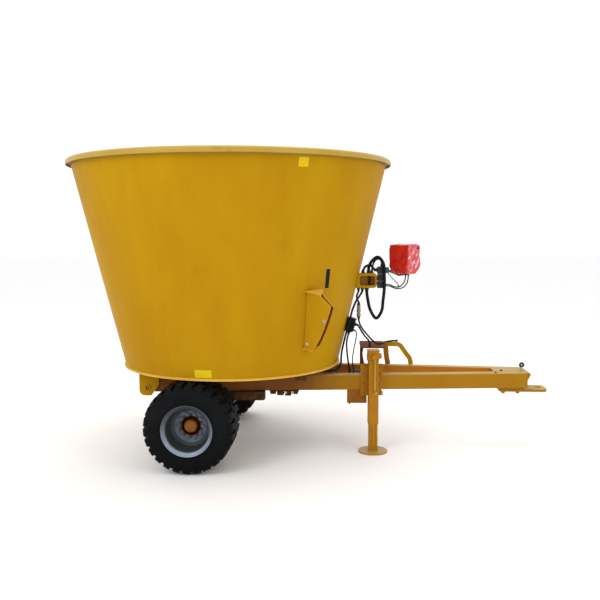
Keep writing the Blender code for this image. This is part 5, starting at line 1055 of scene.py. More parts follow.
for side_name, side in SIDES:
    back = side * (beam_face(BEAM_REAR_X) + 0.0003)
    outline = [(LUG_X[0] + 0.008, back, LUG_Z[1]), (LUG_X[0], back, LUG_Z[1] - 0.008)]
    for k in range(9):
        angle = math.pi + math.pi / 2 * k / 8
        outline.append(
            (LUG_X[0] + LUG_CORNER + LUG_CORNER * math.cos(angle), back,
            LUG_Z[0] + LUG_CORNER + LUG_CORNER * math.sin(angle)))
    outline += [
        (LUG_X[1] - LUG_SLANT, back, LUG_Z[0]), (LUG_X[1], back, LUG_Z[0] + LUG_SLANT * 1.4),
        (LUG_X[1], back, LUG_Z[1])]
    lug = saw_plate("shackle_lug_" + side_name, outline, (0.0, side * LUG_PLATE, 0.0))
    merge_in(
        lug, round_bar("lug_boss", 0.027, 0.002, LUG_PLATE + 0.005, 40, axis=(0.0, side, 0.0),
        centre=(LUG_HOLE_X, back, LUG_HOLE_Z)))
    cut_out(
        lug, round_bar("lug_bore", LUG_HOLE, -0.2, 0.2, 36, axis=(0.0, 1.0, 0.0),
        centre=(LUG_HOLE_X, back, LUG_HOLE_Z)))
    round_edges(lug, 0.0012, 2, 40.0)
    fit(lug, wagon_paint, "rear_lug_" + side_name)
    bush = turn_piece(
        "lug_bush_" + side_name, ((0.005, 0.001), (LUG_HOLE - 0.0003, 0.001),
        (LUG_HOLE - 0.0003, LUG_PLATE + 0.004), (0.005, LUG_PLATE + 0.004)), 32, axis=(0.0, side, 0.0),
        centre=(LUG_HOLE_X, back, LUG_HOLE_Z))
    fit(bush, guard_brown, slot="bright_steel")


# Axle: a square bar across the wagon, held up to the beams by a welded plate bracket each side.
# Round stubs run out of it into the hubs.

AXLE_X, WHEEL_Z, AXLE_HALF = -0.793, 0.318, 0.04
AXLE_REACH, STUB_RADIUS, STUB_END = 0.512, 0.03, 0.772
BRACKET_TOP_Z, BRACKET_FOOT_Z = 0.4667, 0.4
BRACKET_REAR_X, BRACKET_SLANT_X, BRACKET_FRONT_X = -0.9395, -0.3455, -0.3205

axle_bar = block(
    "axle_bar", (AXLE_X - AXLE_HALF, -AXLE_REACH, WHEEL_Z - AXLE_HALF),
    (AXLE_X + AXLE_HALF, AXLE_REACH, WHEEL_Z + AXLE_HALF))
round_edges(axle_bar, 0.006, 3)
stub = turn_piece(
    "axle_stub", ((0.0, -STUB_END), (STUB_RADIUS - 0.003, -STUB_END), (STUB_RADIUS, 0.003 - STUB_END),
    (STUB_RADIUS, STUB_END - 0.003), (STUB_RADIUS - 0.003, STUB_END), (0.0, STUB_END)), 36,
    axis=(0.0, 1.0, 0.0), centre=(AXLE_X, 0.0, WHEEL_Z))
axle_bar = join_pieces("axle_bar", [axle_bar, stub])
# The axle takes the dark brown of painted shade under the wagon.
fit(axle_bar, under_shade_brown, "axle")

clamp_bolts = []
for side_name, side in SIDES:
    middle = side * (beam_face(AXLE_X) - BEAM_WIDE / 2)
    half = BEAM_WIDE * 0.42
    axle_top = WHEEL_Z + AXLE_HALF + 0.0003
    bracket = saw_plate(
        "axle_hanger_" + side_name, [(BRACKET_REAR_X, middle - half, BRACKET_TOP_Z),
        (AXLE_X - AXLE_HALF, middle - half, axle_top), (AXLE_X + AXLE_HALF, middle - half, axle_top),
        (AXLE_X + 2 * AXLE_HALF, middle - half, BRACKET_FOOT_Z),
        (BRACKET_SLANT_X, middle - half, BRACKET_FOOT_Z),
        (BRACKET_FRONT_X, middle - half, BRACKET_FOOT_Z + 0.004),
        (BRACKET_FRONT_X, middle - half, BRACKET_TOP_Z)], (0.0, 2 * half, 0.0))
    round_edges(bracket, 0.003)
    # The hangers take the dark brown of painted shade under the wagon.
    fit(bracket, under_shade_brown, "axle_bracket_" + side_name)
    for x in (AXLE_X - 0.115, AXLE_X + 0.125, BRACKET_SLANT_X - 0.06, BRACKET_SLANT_X - 0.2):
        clamp_bolts.append(((x, middle + side * half, BRACKET_TOP_Z - 0.02), (0.0, side, 0.0), 0.02))
# Their bolts take the same painted shade.
set_bolts("axle_hanger_bolts", clamp_bolts, under_shade_brown)


# Wheels: wide low-pressure tyres with two rows of heavy shoulder lugs and zigzag lugs between.
# The rims are deep-dished steel, sprayed silver, bolted to rusty cast hubs with a grease cap.

TYRE_Y, TYRE_RADIUS = 0.742, 0.318
TREAD_FLOOR, BEAD_RADIUS, RIM_EDGE_RADIUS, RIM_HALF = 0.298, 0.1563, 0.18, 0.212
LUG_COUNT = 26
DISC_Y = 0.792
NUT_CIRCLE, NUT_COUNT = 0.0875, 10

# Tyre rubber. It darkens towards the bottom as painted shade.
tyre_rubber = make_finish(
    "tyre_rubber", (0.0058, 0.0064, 0.0075), (0.003, 0.0031, 0.0036), 7.0, (0.48, 0.7),
    grime=((0.018, 0.016, 0.014), 16.0, 0.6, 0.92), grain=(420.0, 0.0005), specular=0.07,
    painted_shade=(2, 0.48, 0.12, (0.0016, 0.0016, 0.0016)))
# Rim silver. It darkens upwards as painted shade.
rim_silver = make_finish(
    "rim_silver", (0.3, 0.345, 0.43), (0.235, 0.272, 0.345), 8.0, (0.3, 0.44),
    grime=((0.07, 0.07, 0.075), 20.0, 0.6, 0.9), grain=(500.0, 0.0002), metallic=0.3, specular=0.4,
    painted_shade=(2, 0.27, 0.55, (0.056, 0.06, 0.066)))
# Dark grey for the barrel inside the rim: painted shade in the deep well.
rim_well_shade = make_finish(
    "rim_well_shade", (0.05, 0.06, 0.064), (0.028, 0.035, 0.039), 10.0, (0.42, 0.6),
    grime=((0.035, 0.036, 0.034), 24.0, 0.52, 0.8), grain=(500.0, 0.0003), metallic=0.2)
rim_disc = make_finish(
    "rim_disc", (0.115, 0.16, 0.21), (0.08, 0.115, 0.155), 16.0, (0.34, 0.5),
    grime=((0.035, 0.04, 0.045), 60.0, 0.58, 0.76), grain=(500.0, 0.0003), metallic=0.3)
hub_rust = make_finish(
    "hub_rust", (0.33, 0.125, 0.016), (0.23, 0.082, 0.011), 30.0, (0.55, 0.75),
    grime=((0.095, 0.034, 0.012), 60.0, 0.55, 0.74), grain=(500.0, 0.0006), specular=0.2)
# Dark red-brown for the hub's recess round the cap: rust darkened into painted shade.
hub_well_shade = make_finish(
    "hub_well_shade", (0.06, 0.017, 0.009), (0.026, 0.009, 0.006), 26.0, (0.6, 0.8),
    grime=((0.13, 0.045, 0.012), 45.0, 0.58, 0.74), grain=(500.0, 0.0006), specular=0.15)


def round_tyre(block_piece):
    """Bends a tread block, drawn as arc run, across and radius, round the wheel at its top."""
    for corner in block_piece.data.vertices:
        run, across, radius = corner.co
        corner.co = (radius * math.sin(run / TYRE_RADIUS), across, radius * math.cos(run / TYRE_RADIUS))
    return block_piece


def wheel_reach(face):
    """A face's distance from the wheels' axis."""
    return math.hypot(face.center.x - AXLE_X, face.center.z - WHEEL_Z)


def shoulder_lug():
    """One lug of the tread's edge at the wheel's top: it runs over the shoulder on to the flank."""
    outline = (
        (0.06, 0.292), (0.0615, 0.316), (0.066, TYRE_RADIUS), (0.115, 0.3179), (0.152, 0.316),
        (0.17, 0.3118), (0.1805, 0.3035), (0.188, 0.292), (0.1915, 0.2835), (0.185, 0.279), (0.15, 0.288))
    lug = saw_plate("shoulder_lug", [(-0.0255, y, r) for y, r in outline], (0.051, 0.0, 0.0))
    for corner in lug.data.vertices:
        raised = (corner.co.z - 0.292) / (TYRE_RADIUS - 0.292)
        corner.co.x *= 1.08 - 0.14 * max(0.0, raised)
        corner.co.x += 0.1 * (corner.co.y - 0.115)
    round_edges(lug, 0.0028)
    return round_tyre(lug)


def centre_lug():
    """One lug of the tread's closed middle, a six-sided block beside the centre line."""
    lug = saw_plate(
        "centre_lug", [(-0.033, 0.002, 0.3), (0.023, 0.002, 0.3), (0.035, 0.023, 0.3), (0.027, 0.05, 0.3),
        (-0.028, 0.05, 0.3), (-0.036, 0.024, 0.3)], (0.0, 0.0, TYRE_RADIUS - 0.3))
    round_edges(lug, 0.002)
    return round_tyre(lug)


for side_name, side in SIDES:
    wheel_body = side_name + "_wheel"
    place = (AXLE_X, 0.0, WHEEL_Z)
    out = (0.0, float(side), 0.0)
    flank = []
    for y, r in (
            (0.19, BEAD_RADIUS), (0.1985, 0.172), (0.2, 0.182), (0.1975, 0.19), (0.1965, 0.1935),
            (0.1985, 0.196), (0.1985, 0.203), (0.197, 0.206), (0.198, 0.22), (0.1995, 0.237), (0.199, 0.252),
            (0.1965, 0.256), (0.1975, 0.259), (0.196, 0.268), (0.19, 0.28), (0.178, 0.291), (0.16, 0.2965),
            (0.11, TREAD_FLOOR), (0.056, TREAD_FLOOR), (0.049, 0.3085)):
        flank.append((r, y))
    outline = [(r, TYRE_Y - y) for r, y in flank] + [(r, TYRE_Y + y) for r, y in reversed(flank)]
    tyre = turn_piece("carcass", outline, 144, axis=out, centre=place)
    pieces = [tyre]
    for model, mirror in ((shoulder_lug(), 1), (shoulder_lug(), -1), (centre_lug(), 1), (centre_lug(), -1)):
        if mirror < 0:
            set_in(model, Matrix.Rotation(math.pi, 4, "Z"))
        shift = 0.25 if "shoulder" in model.name or mirror > 0 else 0.75
        for k in range(LUG_COUNT):
            copy = copy_of(model)
            turn = Matrix.Rotation(math.tau * (k + shift) / LUG_COUNT, 4, "Y")
            set_in(copy, Matrix.Translation((AXLE_X, side * TYRE_Y, WHEEL_Z)) @ turn)
            pieces.append(copy)
        bpy.data.objects.remove(model)
    tyre = join_pieces("tyre_tread_" + side_name, pieces)
    fit(tyre, tyre_rubber, "tyre_" + side_name, body=wheel_body, slot="tyre_rubber")

    edge = RIM_HALF
    rim = turn_piece(
        "rim_dish_" + side_name, [(r, TYRE_Y + y) for r, y in (
        (RIM_EDGE_RADIUS, edge - 0.004), (RIM_EDGE_RADIUS - 0.0015, edge - 0.001),
        (RIM_EDGE_RADIUS - 0.0045, edge), (0.1735, edge - 0.001), (0.17, edge - 0.006),
        (0.166, edge - 0.012), (0.16, edge - 0.015), (0.156, edge - 0.02), (0.1535, edge - 0.028),
        (0.15, edge - 0.032), (0.15, edge - 0.09), (0.144, edge - 0.108), (0.144, 0.078), (0.138, 0.068),
        (0.124, 0.063), (0.115, 0.06), (0.108, 0.053), (0.104, 0.05), (0.09, 0.05), (0.0745, 0.05),
        (0.0715, 0.047), (0.0715, 0.04), (0.104, 0.04), (0.138, 0.056), (0.15, 0.056), (0.15, -edge + 0.032),
        (0.156, -edge + 0.02), (0.17, -edge + 0.006), (RIM_EDGE_RADIUS - 0.0045, -edge),
        (RIM_EDGE_RADIUS, -edge + 0.004), (0.174, -edge + 0.013), (0.156, -edge + 0.024), (0.1556, 0.0),
        (0.156, edge - 0.024), (0.174, edge - 0.013))], 120, axis=out, centre=place)
    # The barrel's inside takes the dark painted shade of the well.
    paint_zones(
        rim, (rim_silver, rim_well_shade, rim_disc, guard_brown),
        lambda f: 0 if (f.center.y * side - TYRE_Y <= 0.0395 or wheel_reach(f) >= 0.1545) else 3
        if wheel_reach(f) < 0.09 else 2 if wheel_reach(f) < 0.115 else 1)
    fit(rim, None, "rim_" + side_name, body=wheel_body, slot="rim_silver", smooth=40.0)

    hub = turn_piece(
        "hub_cast_" + side_name, ((0.0303, 0.668), (0.058, 0.668), (0.06, 0.672), (0.064, 0.7),
        (0.069, 0.728), (0.09, 0.7275), (0.092, 0.7295), (0.092, 0.74), (0.07, 0.7817), (0.07, 0.785),
        (0.066, 0.785), (0.064, 0.748), (0.058, 0.744), (0.048, 0.744), (0.046, 0.747), (0.046, 0.806),
        (0.044, 0.81), (0.04, 0.812), (0.038, 0.815), (0.02, 0.818), (0.018, 0.819), (0.0, 0.819),
        (0.0, 0.78), (0.0303, 0.78)), 60, axis=out, centre=place)
    # The recess round the cap takes the painted shade.
    paint_zones(hub, (hub_rust, hub_well_shade), lambda f: wheel_reach(f) > 0.0463)
    fit(hub, None, "hub_" + side_name, body=wheel_body, slot="hub_iron", smooth=30.0)
    nuts = []
    for k in range(NUT_COUNT):
        angle = math.tau * k / NUT_COUNT
        nuts.append(
            ((AXLE_X + NUT_CIRCLE * math.cos(angle), side * DISC_Y, WHEEL_Z + NUT_CIRCLE * math.sin(angle)),
            out, 0.02))
    set_bolts("wheel_nuts_" + side_name, nuts, rim_disc, body=wheel_body, slot="rim_silver")
    valve = turn_piece(
        "tyre_valve_" + side_name, ((0.0, 0.0), (0.0055, 0.0), (0.0055, 0.006), (0.0035, 0.01),
        (0.003, 0.03), (0.004, 0.031), (0.004, 0.042), (0.0, 0.043)), 16, axis=(0.0, side, -0.35),
        centre=(AXLE_X - 0.02, side * (TYRE_Y + edge - 0.072), WHEEL_Z + 0.1495))
    fit(valve, black_plastic, body=wheel_body, slot="dark_plastic")


# Parking jack: a square tube bolted to the near beam, with a sliding square leg and a round foot.
# The head holds the bevel gears; a cranked rod with a grip hangs down its front.

JACK_PLATE_RUN, JACK_PLATE_Z, JACK_PLATE = (-0.091, 0.079), (0.425, 0.668), 0.01
JACK_HALF, JACK_WALL, JACK_Z = 0.038, 0.005, (0.218, 0.766)
JACK_Y = -JACK_PLATE - 0.0003 - JACK_HALF
LEG_HALF, LEG_TOP, FOOT_RADIUS, FOOT_PLATE = 0.0327, 0.468, 0.11, 0.012
CRANK_Z, CRANK_DROP, CRANK_ROD = 0.735, 0.26, 0.006

jack_frame = Matrix.Translation((JACK_X, -(BEAM_AT_JACK + 0.0003), 0.0)) @ Matrix.Rotation(
    math.atan(BEAM_TAPER), 4, "Z")

jack_paint = make_finish(
    "jack_paint", (0.4, 0.182, 0.0085), (0.345, 0.14, 0.007), 9.0, (0.36, 0.55),
    grime=((0.23, 0.105, 0.022), 28.0, 0.6, 0.86), grain=(300.0, 0.0003), specular=0.1)

jack_plate = block(
    "jack_mount", (JACK_PLATE_RUN[0], -JACK_PLATE, JACK_PLATE_Z[0]),
    (JACK_PLATE_RUN[1], 0.0, JACK_PLATE_Z[1]))
for z, reach in ((0.47, 0.016), (0.546, 0.022), (0.62, 0.014)):
    cut_out(
        jack_plate, round_bar("plate_notch", reach, -0.1, 0.1, 32, axis=(0.0, 1.0, 0.0),
        centre=(JACK_PLATE_RUN[1] + 0.006, 0.0, z)))
round_edges(jack_plate, 0.002)
fit(set_in(jack_plate, jack_frame), jack_paint, "jack_plate")

jack_case = block(
    "jack_case", (-JACK_HALF, JACK_Y - JACK_HALF, JACK_Z[0]), (JACK_HALF, JACK_Y + JACK_HALF, JACK_Z[1]))
round_along(jack_case, 2, 0.3, 0.007)
bore_half = JACK_HALF - JACK_WALL
cut_out(
    jack_case, block("jack_bore", (-bore_half, JACK_Y - bore_half, JACK_Z[0] - 0.1),
    (bore_half, JACK_Y + bore_half, JACK_Z[1] - JACK_WALL)))
head = block("jack_head", (-0.0415, JACK_Y - 0.0415, 0.706), (0.0415, JACK_Y + 0.0415, 0.7835))
round_edges(head, 0.006, 3)
cap = block("jack_cap", (-0.046, JACK_Y - 0.042, 0.774), (0.046, JACK_Y + 0.042, 0.784))
round_edges(cap, 0.003)
gear_bulge = turn_piece(
    "jack_gears", ((0.0, 0.0), (0.031, 0.0), (0.036, 0.006), (0.036, 0.068), (0.03, 0.08), (0.0, 0.08)), 40,
    axis=(1.0, 0.0, 0.0), centre=(-0.0475, JACK_Y - 0.006, 0.734))
hub_end = turn_piece(
    "jack_gear_end", ((0.0, 0.0), (0.022, 0.0), (0.022, 0.026), (0.018, 0.032), (0.0, 0.032)), 32,
    axis=(1.0, 0.0, 0.0), centre=(0.03, JACK_Y, 0.736))
jack_case = join_pieces("jack_case", [jack_case, head, cap, gear_bulge, hub_end])
# Up-facing faces get the painted top highlight.
paint_zones(jack_case, (jack_paint, top_highlight_paint), lambda f: f.normal.z > 0.4)
fit(set_in(jack_case, jack_frame), None, "jack_tube")

leg = block(
    "jack_leg_bar", (-LEG_HALF, JACK_Y - LEG_HALF, FOOT_PLATE * 0.5), (LEG_HALF, JACK_Y + LEG_HALF, LEG_TOP))
round_along(leg, 2, 0.3, 0.006)
for x in (-0.0145, 0.0145):
    cut_out(
        leg, block("leg_groove", (x - 0.0032, JACK_Y - LEG_HALF - 0.01, 0.03),
        (x + 0.0032, JACK_Y - LEG_HALF + 0.004, 0.43)))
foot = turn_piece(
    "jack_foot", ((0.0, 0.0), (FOOT_RADIUS - 0.002, 0.0), (FOOT_RADIUS, 0.002),
    (FOOT_RADIUS, FOOT_PLATE - 0.002), (FOOT_RADIUS - 0.002, FOOT_PLATE), (0.05, FOOT_PLATE),
    (0.0, FOOT_PLATE)), 72, centre=(0.0, JACK_Y, 0.0))
leg = join_pieces("jack_leg_bar", [leg, foot])
# The foot's top gets the painted top highlight.
paint_zones(leg, (jack_paint, top_highlight_paint), lambda f: f.normal.z > 0.6)
fit(set_in(leg, jack_frame), None, "jack_leg", body="parking_leg")

crank_y = JACK_Y - JACK_HALF - 0.0003
rod_y = crank_y - 0.03 + CRANK_ROD + 0.004
boss = turn_piece(
    "crank_boss", ((0.0, 0.0), (0.02, 0.0), (0.02, 0.026), (0.017, 0.03), (0.0, 0.03)), 32,
    axis=(0.0, -1.0, 0.0), centre=(0.0, crank_y, CRANK_Z))
rod = round_bar("crank_rod", CRANK_ROD, -CRANK_DROP, 0.0, 20, centre=(0.006, rod_y, CRANK_Z))
grip = turn_piece(
    "crank_grip", ((0.0, -0.006), (0.008, -0.006), (0.0096, -0.003), (0.0088, 0.004), (0.0096, 0.062),
    (0.008, 0.07), (0.0, 0.07)), 24, axis=(0.0, -1.0, 0.0), centre=(0.006, rod_y, CRANK_Z - CRANK_DROP))
crank = join_pieces("jack_handle", [boss, rod, grip])
# The rod below the boss is painted paler: a painted highlight along it.
paint_zones(crank, (jack_paint, edge_highlight_paint), lambda f: f.center.z < CRANK_Z - 0.02)
fit(set_in(crank, jack_frame), None, "jack_crank")
set_bolts(
    "jack_bolts", [(jack_frame @ Vector((x, -JACK_PLATE, z)), jack_frame.to_3x3() @ Vector((0, -1, 0)),
    0.018) for x in (-0.068, 0.058) for z in (0.44, 0.508, 0.586, 0.648)], jack_paint, slot="wagon_paint")


# Guard over the driveline: a rest plate for the hoses, a braced post and two bent straps.
# They are flat bar, bent and welded to the far beam's top.

GUARD_X, GUARD_Y, GUARD_Z = (0.4005, 0.5905), (-0.1, 0.238), (0.763, 0.772)
STRAP_Y, STRAP_PLATE = 0.186, 0.008
FOOT_Z = 0.5853

guard = block("guard_rest", (GUARD_X[0], GUARD_Y[0], GUARD_Z[0]), (GUARD_X[1], GUARD_Y[1], GUARD_Z[1]))
round_edges(guard, 0.002)
fit(guard, guard_brown, "guard_plate")

middle_z = (FOOT_Z + GUARD_Z[0]) / 2
brace = saw_plate(
    "guard_post", [(0.4045, STRAP_Y, FOOT_Z), (0.4425, STRAP_Y, FOOT_Z), (0.433, STRAP_Y, FOOT_Z + 0.05),
    (0.4273, STRAP_Y, middle_z), (0.433, STRAP_Y, GUARD_Z[0] - 0.05), (0.4425, STRAP_Y, GUARD_Z[0] - 0.0003),
    (0.4045, STRAP_Y, GUARD_Z[0] - 0.0003)], (0.0, STRAP_PLATE, 0.0))
round_edges(brace, 0.0015)
fit(brace, guard_brown, "guard_brace")


def bend_strap(name, line, width, first_y, finish, node):
    """A flat strap on edge: its middle line in the upright plane, its width and its near face."""
    left, right = [], []
    for k, (x, z) in enumerate(line):
        before, after = line[max(k - 1, 0)], line[min(k + 1, len(line) - 1)]
        run = Vector((after[0] - before[0], after[1] - before[1])).normalized()
        left.append((x - run.y * width / 2, first_y, z + run.x * width / 2))
        right.append((x + run.y * width / 2, first_y, z - run.x * width / 2))
    strap = saw_plate(name, left + right[::-1], (0.0, STRAP_PLATE, 0.0))
    round_edges(strap, 0.0015)
    return fit(strap, finish, node)


bend_strap(
    "guard_bow_rear", [(0.5912, 0.75), (0.602, 0.746), (0.611, 0.735), (0.616, 0.72), (0.6175, 0.7),
    (0.619, 0.675), (0.6235, 0.64), (0.63, 0.608), (0.634, 0.588)], 0.042, STRAP_Y, chassis_paint,
    "guard_strap_rear")
bend_strap(
    "guard_bow_front", [(0.5912, 0.752), (0.64, 0.752), (0.7, 0.752), (0.722, 0.748), (0.738, 0.737),
    (0.76, 0.705), (0.786, 0.668), (0.803, 0.648), (0.812, 0.63), (0.8215, 0.586)], 0.038,
    STRAP_Y + STRAP_PLATE + 0.0003, wagon_paint, "guard_strap_front")


# Counter knife: two plates with shelves outside the wall hold a blade that reaches through the slit.
# The blade is turned in against the feed and held by two bolts.

PLATE_OUTER, SLOT_HALF = 0.0213, 0.0133
KNIFE_PLATE_Z = (0.845, 1.256)
KNIFE_CURVE = (
    (0.03, 0.833), (0.062, 0.872), (0.098, 0.926), (0.134, 0.99), (0.168, 1.058), (0.194, 1.116),
    (0.208, 1.15), (0.212, 1.162))
SHELF_END = (0.136, 1.234)
SHELF_OUTER, SHELF_PLATE, SHELF_DROP, SHELF_SINK = 0.0393, 0.012, 0.24, 0.004
BLADE_HALF, BLADE_INSET, BLADE_TIP = 0.013, -0.007, (-0.125, 1.01)


def wall_run(z, across):
    """How far along the knife's heading the wall's outside lies, at a height and an offset."""
    start = knife_root - Vector((TUB_X, 0.0, 0.0)) + knife_across * (across + KNIFE_LEAN * (KNIFE_ROOT_Z - z))
    half_b = start.dot(knife_along)
    return -half_b + math.sqrt(half_b ** 2 - start.length_squared + (tub_radius(z) + 0.0003) ** 2)


def holder_plate(first, last, rise):
    """One side plate of the holder: inner edge along the wall, outer edge curved, top end raised by rise."""
    outline = []
    for k in range(9):
        z = KNIFE_PLATE_Z[1] + (KNIFE_PLATE_Z[0] - KNIFE_PLATE_Z[1]) * k / 8
        outline.append((max(wall_run(z, first), wall_run(z, last)) + 0.0005, first, z))
    outline += [(s, first, z) for s, z in KNIFE_CURVE + ((SHELF_END[0], SHELF_END[1] + rise),)]
    plate = saw_plate("holder_plate", outline, (0.0, last - first, 0.0))
    round_edges(plate, 0.0012)
    return plate


def holder_shelf(z, reach, twist):
    """A shelf across both plates that falls outwards and twists up at its far outer corner."""
    top = z + SHELF_PLATE
    middle = wall_run(top, 0.0)
    inner = []
    for k in range(9):
        t = -SHELF_OUTER + 2 * SHELF_OUTER * k / 8
        s = middle
        for _ in range(4):
            s = wall_run(top - SHELF_DROP * (s - middle), t)
        inner.append((s + 0.0005, t))
    outline = inner + [
        (inner[-1][0] + 0.012, SHELF_OUTER), (middle + reach, PLATE_OUTER), (middle + reach, -PLATE_OUTER),
        (inner[0][0] + 0.012, -SHELF_OUTER)]
    corners = [
        (s, t, z - SHELF_DROP * (s - middle) + twist * max(0.0, s - middle) / reach * (t + PLATE_OUTER))
        for s, t in outline]
    shelf = saw_plate("holder_shelf", corners, (0.0, 0.0, SHELF_PLATE))
    round_edges(shelf, 0.0015)
    return shelf


holder = join_pieces(
    "knife_bracket", [holder_plate(-PLATE_OUTER, -SLOT_HALF, 0.0),
    holder_plate(SLOT_HALF, PLATE_OUTER, 0.02), holder_shelf(KNIFE_PLATE_Z[1] - SHELF_SINK, 0.1, 0.9),
    holder_shelf(KNIFE_PLATE_Z[0] - SHELF_SINK, 0.06, 0.5)])
# The holder's edge faces are painted bright: a painted highlight where they catch the light.
paint_zones(holder, (wagon_paint, bright_edge_highlight), lambda f: abs(f.normal.y) < 0.85)
fit(set_in(holder, knife_frame), None, "knife_holder")
knife_blade = saw_plate(
    "knife_blade", [(BLADE_TIP[0], -BLADE_HALF, BLADE_TIP[1]),
    (wall_run(SLIT_Z[0], 0.0) - 0.02, -BLADE_HALF, SLIT_Z[0] + 0.014)]
    + [(s - BLADE_INSET, -BLADE_HALF, z + BLADE_INSET * 0.4) for s, z in KNIFE_CURVE if z > KNIFE_PLATE_Z[0]]
    + [(wall_run(SLIT_Z[1], 0.0) + 0.02, -BLADE_HALF, SLIT_Z[1] - 0.014),
    (wall_run(SLIT_Z[1], 0.0) - 0.03, -BLADE_HALF, SLIT_Z[1] - 0.014)], (0.0, 2 * BLADE_HALF, 0.0))
round_edges(knife_blade, 0.003)
knife_finish = make_finish(
    "knife_finish", (0.15, 0.034, 0.006), (0.085, 0.017, 0.004), 14.0, (0.6, 0.8),
    grime=((0.19, 0.06, 0.01), 40.0, 0.55, 0.75), grain=(500.0, 0.0004), specular=0.03)
fit(set_in(knife_blade, knife_frame), knife_finish, "counter_knife", slot="bright_steel")
knife_bolts = []
for s, z in ((0.152, 1.06), (-0.008, 0.884)):
    for side in (-1, 1):
        knife_bolts.append((knife_frame @ Vector((s, side * PLATE_OUTER, z)), knife_across * side, 0.0135))
set_bolts("knife_bolts", knife_bolts, zinc_steel)


# Sight strip: a dark window let into a slot in the wall above the counter knife.
# It is toughened plastic in a thin rubber bead.

SIGHT_AZIMUTH, SIGHT_TWIST, SIGHT_Z, SIGHT_HALF = -39.9, -1.1, (1.275, 1.412), 0.02


def up_slope(z):
    """Run up the wall's slope from its foot to a height."""
    return (z - TUB_FOOT_Z) / math.cos(TUB_SLOPE)


def on_wall(azimuth, low, high, half, thickness, name, steps=6, twist=0.0):
    """A thin piece bent to the wall between two heights, half to each side; it turns by twist upwards."""
    piece = add_new(name, bpy.ops.mesh.primitive_grid_add, x_subdivisions=steps, y_subdivisions=3, size=1.0)
    for corner in piece.data.vertices:
        z = low + (high - low) * (corner.co.y + 0.5)
        angle = math.radians(azimuth + twist * corner.co.y) + 2 * corner.co.x * half / tub_radius(z)
        corner.co = (TUB_X + tub_radius(z) * math.cos(angle), tub_radius(z) * math.sin(angle), z)
    face_outwards()
    if piece.data.polygons[0].normal.dot(cone_normal(piece.data.polygons[0].center)) < 0:
        piece.data.flip_normals()
    machine(piece, "SOLIDIFY", thickness=thickness, offset=1.0)
    return piece


sight = on_wall(SIGHT_AZIMUTH, SIGHT_Z[0], SIGHT_Z[1], SIGHT_HALF, 0.003, "sight_window", twist=SIGHT_TWIST)
round_edges(sight, 0.0012, 2, 60.0)
fit(sight, black_plastic, "sight_strip", slot="dark_plastic")
sight_frame = on_wall(
    SIGHT_AZIMUTH, SIGHT_Z[0] - 0.004, SIGHT_Z[1] + 0.004, SIGHT_HALF + 0.004, 0.0018, "sight_bead",
    twist=SIGHT_TWIST)
# The bead takes the pale edge paint: a painted highlight round the window.
fit(sight_frame, edge_highlight_paint)


# Stickers: two blank yellow labels on the near side, under the rim and above the floor plate.
# They are thin printed film with nothing on it, stuck flat on the paint.

label_yellow = make_finish(
    "label_yellow", (0.7, 0.49, 0.008), (0.65, 0.45, 0.006), 30.0, (0.25, 0.35),
    grime=((0.4, 0.3, 0.03), 60.0, 0.62, 0.85), grain=(800.0, 0.00005), specular=0.12)
for label_name, azimuth, low, high, half in (
        ("label_upper", -58.2, 2.09, 2.15, 0.036), ("label_lower", -95.6, 0.668, 0.724, 0.06)):
    label = on_wall(azimuth, low, high, half, 0.0006, label_name)
    fit(label, label_yellow, smooth=60.0)


# Discharge door: a sheet steel slide on the far side, in two channel rails, lifted by a cylinder.
# The barrel is black; its plated rod pulls the door up the tub's slope.

DOOR_FACE, DOOR_SHEET, DOOR_SILL, DOOR_TOP, DOOR_EDGE = 0.0125, 0.008, 0.012, 0.452, 0.3
ROD_N, ROD_RADIUS, BARREL_RADIUS, BARREL = 0.045, 0.0125, 0.026, (0.94, 1.46)
RAIL_LONG, RAIL_INNER, RAIL_OUTER, RAIL_HOLD = 0.92, 0.305, 0.333, 0.28

door_frame = wall_frame(DOOR_AZIMUTH)
door_front = DOOR_FACE + DOOR_SHEET
door = block("door_slide_sheet", (-DOOR_EDGE, DOOR_SILL, DOOR_FACE), (DOOR_EDGE, DOOR_TOP, door_front))
ribs = [
    block("door_rib", (u - 0.015, DOOR_SILL + 0.03, door_front - 0.001),
    (u + 0.015, DOOR_TOP - 0.045, door_front + 0.012)) for u in (-0.2, 0.0, 0.2)]
lug = block("door_lug", (-0.03, DOOR_TOP - 0.03, door_front - 0.002), (0.03, DOOR_TOP, ROD_N + ROD_RADIUS))
merge_in(door, lug, *ribs)
round_edges(door, 0.0015)
fit(set_in(door, door_frame), wagon_paint, "discharge_door", body="sliding_door")


def wall_depth(u, w):
    """The wall's outside surface in a wall frame, its n at u round and w up."""
    n = 0.0
    for _ in range(12):
        z = TUB_FOOT_Z + w * math.cos(TUB_SLOPE) - n * math.sin(TUB_SLOPE)
        reach = math.sqrt(tub_radius(z) ** 2 - u ** 2)
        n += (reach - (TUB_FOOT_RADIUS + w * math.sin(TUB_SLOPE) + n * math.cos(TUB_SLOPE))) * math.cos(
            TUB_SLOPE)
    return n


